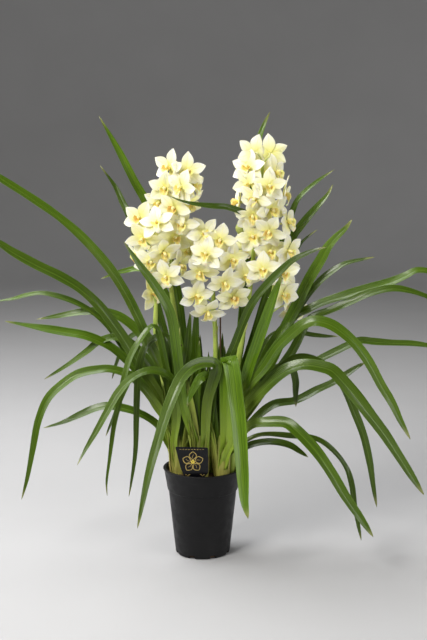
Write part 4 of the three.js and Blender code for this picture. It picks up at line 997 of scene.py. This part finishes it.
def fitting(points, apart, tips, marks):
    """Each turn and move that brings three of the tips onto points, and most marks with them."""
    sides = np.linalg.norm(tips[:, None] - tips[None], axis=2)
    for a, b, c in itertools.combinations(range(len(TEPALS)), 3):
        for i, j in zip(*np.nonzero(np.abs(apart - sides[a, b]) < MATCH_DISTANCE)):
            from_first = np.abs(apart[i] - sides[a, c]) < MATCH_DISTANCE
            from_second = np.abs(apart[j] - sides[b, c]) < MATCH_DISTANCE
            for k in np.nonzero(from_first & from_second)[0]:
                turn, move = turned_onto(tips[[a, b, c]], points[[i, j, k]])
                gaps = np.linalg.norm((marks @ turn.T + move)[:, None] - points[None], axis=2).min(axis=1)
                if (gaps < MATCH_POINT).sum() >= MARKS_MET:
                    yield turn, move


def node_points(node):
    return np.array([v.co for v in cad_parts[node].data.vertices]) / MM


def bloom_places(node):
    """The form of each bloom in a CAD node, and the turn and move that put it there."""
    points = np.unique(np.round(node_points(node), 3), axis=0)
    apart = np.linalg.norm(points[:, None] - points[None], axis=2)
    places = []
    for form in (0, 1):
        for turn, move in fitting(points, apart, *tepal_marks(form)):
            if all(np.linalg.norm(move - known[2]) > 1 for known in places):
                places.append((form, turn, move))
    return places


def make_tepal(shape, row, form, rng, warm):
    angle, length, width, root, bow, tip_bow, change = row
    angle += rng.uniform(-0.05, 0.05)
    tip = tip_bow + change * form + rng.uniform(-3, 3)
    u = np.linspace(0, 1, TEPAL_STATIONS)
    out = np.array([math.sin(angle), math.cos(angle), 0])
    at = np.outer(TEPAL_ROOT + u * (length * rng.uniform(0.98, 1.06) - 2.2), out)
    at[:, 2] = root + bow * u + tip * u**2
    widths = width * rng.uniform(1.0, 1.1) * between(u, TEPAL_WIDTHS)
    wave = 0.7 * np.sin(7 * u + rng.uniform(0, 6.3))[:, None]
    fold, tone, turn = rng.uniform(0.05, 0.15), rng.random(), rng.uniform(-0.16, 0.16)
    line = straight_line(at)
    shape.blade(line, np.array([0, 0, 1.0]), widths, fold, TEPAL_THICKNESS, turn, wave, power=1.8,
        slot=TEPAL_SLOT, tone=tone, warm=warm)


def make_lip(shape, rng, warm):
    """A lip with upright side lobes, two keels, and a middle lobe that curls back."""
    curl = rng.uniform(-1.5, 1.5)
    line = smooth_line([[x, y, z + share * curl] for (x, y, z), share in zip(LIP_LINE, LIP_CURL)], 1.2)
    u = line.share
    wave = 0.8 * np.sin(24 * u + rng.uniform(0, 6))[:, None] * np.clip((u - 0.5) * 4, 0, 1)[:, None]
    shape.blade(line, np.array([0, 0.5, 1.0]), between(u, LIP_WIDTHS), between(u, LIP_FOLDS), 1.2, wave=wave,
        power=2, slot=LIP_SLOT, warm=warm)
    for side in (-1, 1):
        keel = straight_line([[side * 1.7, y + 0.8, z + 1.0] for _, y, z in line.at[4:-8]])
        radii = 1.1 * np.sin(np.linspace(0.15, math.pi - 0.1, len(keel.at))) ** 0.6
        shape.rod(keel, radii, 8, LIP_SLOT, along=0.5, across=0.05, warm=warm)


def make_column(shape, warm):
    """The column, with the round cap at its end."""
    line = smooth_line(COLUMN_LINE, 1.1)
    shape.rod(line, between(line.share, COLUMN_RADII), 16, COLUMN_SLOT, warm=warm)
    cap = straight_line([[0, 0.9 - 0.16 * t, 13.7 + t] for t in np.linspace(-1.9, 1.9, 9)])
    radii = 2.6 * np.sqrt(np.clip(1 - np.linspace(-0.99, 0.99, 9) ** 2, 0.01, 1))
    shape.rod(cap, radii, 16, COLUMN_SLOT, along=1.0)


def make_ovary(shape):
    """The green ovary behind the tepals."""
    line = smooth_line([[0, 0, 1], [0, 0, -3], [0, 0, -BLOOM_BACK]], 1)
    shape.rod(line, between(line.share, [[0, 4.2], [0.4, 2.9], [1, 2.1]]), 14, OVARY_SLOT, warm=0.75)


def make_bloom(shape, place, rng):
    form, turn, move = place
    warm = rng.choice(WARMTHS)
    bloom = Shape()
    for row in TEPALS:
        make_tepal(bloom, row, form, rng, warm)
    make_lip(bloom, rng, warm)
    make_column(bloom, warm)
    make_ovary(bloom)
    shape.take(bloom, turn, move)


def make_spray(node, seed):
    """All blooms of one CAD node, and where they stand."""
    rng = random.Random(seed)
    places = bloom_places(node)
    shape = Shape()
    for place in places:
        make_bloom(shape, place, rng)
    shape.build(node + "_flowers", [TEPAL, LIP, COLUMN, STALK], "petal", node)
    return places


# Stalks


def stalk_lines(name):
    """A stalk's line with stations about STALK_STEP apart, and a fine one from its foot in the mix."""
    (x, y), *points = STALKS[name]
    coarse = smooth_line([[x, y, STALK_NECK_Z]] + [seen(*point) for point in points], STALK_STEP)
    return coarse, smooth_line(np.vstack([[x, y, STALK_FOOT_Z], coarse.at]), STALK_FINE_STEP)


def stalk_radius(share):
    return STALK_FOOT_RADIUS + (STALK_TOP_RADIUS - STALK_FOOT_RADIUS) * share**1.5


def make_bract(shape, at, along, side, length, width, radius, rng, tone):
    """A papery bract that leaves the stem at a point, on one side of it."""
    start = at + side * radius * 0.7
    middle = at + along * length * 0.5 + side * (radius + 0.9)
    line = smooth_line([start, middle, at + along * length + side * (radius + 3)], 2)
    u = line.share
    widths = np.maximum(width * np.clip(1 - u**1.6, 0, 1) ** 0.8, 0.4)
    turn = rng.uniform(-0.1, 0.1)
    shape.blade(line, side, widths, -0.42 + 0.2 * u, 0.8, turn, power=1.9, tone=tone, warm=0.1)


def pedicel_curve(fine, place, drop):
    """The four points of a pedicel's curve that leaves the stalk lower than the bloom's back by drop."""
    _, turn, move = place
    facing = turn[:, 2]
    back = move - facing * (BLOOM_BACK + GAP)
    start = fine.at[np.linalg.norm(fine.at - (back - np.array([0, 0, drop])), axis=1).argmin()]
    reach = np.linalg.norm(back - start)
    return start, start + 0.3 * (back - start) + [0, 0, reach * 0.12], back - facing * reach * 0.35, back


def make_pedicel(shape, stem, fine, place, rng):
    """The pedicel of the bloom at a place, along the curve that meets the CAD stem's points best."""

    def misfit(drop):
        a, b, c, d = pedicel_curve(fine, place, drop)
        middle = (a + 3 * b + 3 * c + d) / 8
        near = np.sort(np.linalg.norm(stem - middle, axis=1))[:3]
        return np.abs(near - PEDICEL_RADIUS).max()

    a, b, c, d = pedicel_curve(fine, place, min(PEDICEL_DROPS, key=misfit))
    d = d + place[1][:, 2] * 0.6
    t = np.linspace(0, 1, PEDICEL_STATIONS)[:, None]
    line = straight_line((1 - t) ** 3 * a + 3 * t * (1 - t) ** 2 * b + 3 * t**2 * (1 - t) * c + t**3 * d)
    radii = between(line.share, [[0, 2.1], [0.1, 1.5], [0.55, 1.55], [0.9, 2.2], [1, 2.1]])
    shape.rod(line, radii, PEDICEL_SIDES, warm=line.share[:, None] * 0.8)
    side = unit((d - a) * [1, 1, 0] + [0.01, 0, 0])
    make_bract(shape, a, np.array([0, 0, 1.0]), -side * 0.6, 9, 5, 2.0, rng, 0.9)


def make_bud(shape, fine, middle):
    """A closed bud with three faint lobes, and its stem."""
    low, high = BUD_PROFILE[0][0], BUD_PROFILE[-1][0]
    heights = np.linspace(low, high, BUD_STATIONS)
    angles = circle(BUD_SIDES)
    lobes = 1 - 0.05 * np.abs(np.cos(1.5 * angles)) ** 6
    rings = [[middle + [r * k * math.cos(a), r * k * math.sin(a), h] for a, k in zip(angles, lobes)]
        for h, r in zip(heights, between(heights, BUD_PROFILE))]
    shape.loft(rings, along=((heights - low) / (high - low))[:, None], across=angles / math.pi - 1, warm=0.4)
    start = next(at for at in fine.at if at[2] > middle[2] - PEDICEL_DROPS[0])
    shape.rod(smooth_line([start, (start + middle) / 2, middle], 2), 1.7, PEDICEL_SIDES, warm=0.4)


def make_stalk(name, places, seed):
    rng = random.Random(seed)
    shape = Shape()
    coarse, fine = stalk_lines(name)
    across = np.arange(STALK_SIDES) * 2 / STALK_SIDES - 1
    shape.rod(fine, stalk_radius(fine.share), STALK_SIDES, across=across, warm=(0.25 * fine.share)[:, None])
    side = unit(BRACT_SIDE)
    for i in range(2, len(coarse.at) - 1, 2):
        share = coarse.share[i]
        length, width = BRACT_LENGTH * (1 - 0.75 * share), BRACT_WIDTH * (1 - 0.5 * share)
        make_bract(shape, coarse.at[i], coarse.along[i], side, length, width, stalk_radius(share), rng, 0.5)
    stem = node_points(name)
    for place in places:
        make_pedicel(shape, stem, fine, place, rng)
    if name == BUD_STALK:
        make_bud(shape, fine, seen(*BUD_PLACE))
    shape.build(name + "_stem", [STALK], "stem", name)


def make_flower_stalk(name, number):
    """A stalk with all its blooms, whose nodes are numbered."""
    start = name.replace("stalk", "blooms") + "_"
    nodes = sorted(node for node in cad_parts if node.startswith(start) and node[len(start):].isdigit())
    places = []
    for spray_number, node in enumerate(nodes):
        places += make_spray(node, 100 * number + spray_number)
    if len(places) != BLOOM_COUNTS[name]:
        raise ValueError("%d blooms found on %s" % (len(places), name))
    make_stalk(name, places, 50 + number)


# Studio, in metres

FLOOR_Z, FLOOR_REACH, FLOOR_CURVE, FLOOR_TOP = -0.0005, 4.2, 2.2, [6.5, 4.5]
FLOOR_SIDES = 96
AIM = Vector((0, 0, 0.5))
LAMPS = (
    ("key", (-1.5, -1.9, 2.5), 1.1, 96, (1, 0.98, 0.94)),
    ("fill", (2.3, -1.6, 1.3), 1.6, 40, (1, 0.99, 0.97)),
    ("side", (-2.6, 0.1, 1.7), 1.6, 34, (1, 1, 0.98)),
    ("back", (-0.9, 0.7, 2.5), 1.5, 60, (1, 1, 1)),
)


def make_floor():
    """A pale floor that rises smoothly all round."""
    profile = [[FLOOR_REACH, FLOOR_Z]]
    for a in np.linspace(0.1, 1.5, 15):
        profile.append([FLOOR_REACH + FLOOR_CURVE * math.sin(a), FLOOR_CURVE * (1 - math.cos(a)) + FLOOR_Z])
    profile.append(FLOOR_TOP)
    points = []
    for (radius, z), a in itertools.product(profile, circle(FLOOR_SIDES)):
        points.append([radius * math.cos(a), radius * math.sin(a), z])
    faces = [list(range(FLOOR_SIDES))]
    for r in range(len(profile) - 1):
        low, high = r * FLOOR_SIDES, (r + 1) * FLOOR_SIDES
        for i in range(FLOOR_SIDES):
            j = (i + 1) % FLOOR_SIDES
            faces.append([low + j, low + i, high + i, high + j])
    mesh = bpy.data.meshes.new("floor")
    mesh.from_pydata(points, [], faces)
    mesh.polygons.foreach_set("use_smooth", [True] * len(mesh.polygons))
    paint = Paint("floor", Roughness=0.75, Specular_IOR_Level=0.2)
    paint.colour(paint.mix(paint.noise(3.0, 2.0), (0.43, 0.43, 0.44), (0.47, 0.47, 0.48)))
    mesh.materials.append(paint.material)
    floor = bpy.data.objects.new("floor", mesh)
    bpy.context.collection.objects.link(floor)


def make_lights():
    """A pale sky and four soft lamps."""
    world = bpy.data.worlds.new("sky")
    world.use_nodes = True
    sky = world.node_tree.nodes["Background"].inputs
    sky["Color"].default_value = (0.86, 0.85, 0.80, 1)
    sky["Strength"].default_value = 0.12
    bpy.context.scene.world = world
    for name, spot, size, power, tint in LAMPS:
        lamp = bpy.data.lights.new(name, "AREA")
        lamp.size, lamp.energy, lamp.color = size, power, tint
        light = bpy.data.objects.new(name, lamp)
        light.location = spot
        light.rotation_euler = (AIM - Vector(spot)).to_track_quat("-Z", "Y").to_euler()
        bpy.context.collection.objects.link(light)


def make_camera():
    data = bpy.data.cameras.new("camera")
    data.lens, data.sensor_width, data.clip_end = CAMERA_LENS, CAMERA_SENSOR, CAMERA_END
    camera = bpy.data.objects.new("camera", data)
    camera.location = Vector(EYE) * MM
    camera.rotation_euler = (math.radians(CAMERA_TILT), 0, 0)
    bpy.context.collection.objects.link(camera)
    bpy.context.scene.camera = camera
    bpy.context.scene.view_settings.view_transform = "Standard"


make_camera()
make_floor()
make_lights()
make_pot()
make_bark()
make_stick()
make_clip()
make_label()
for growth_number, growth_name in enumerate(GROWTHS):
    make_growth(growth_name, 20 + growth_number)
for stalk_number, stalk_name in enumerate(BLOOM_COUNTS):
    make_flower_stalk(stalk_name, stalk_number)
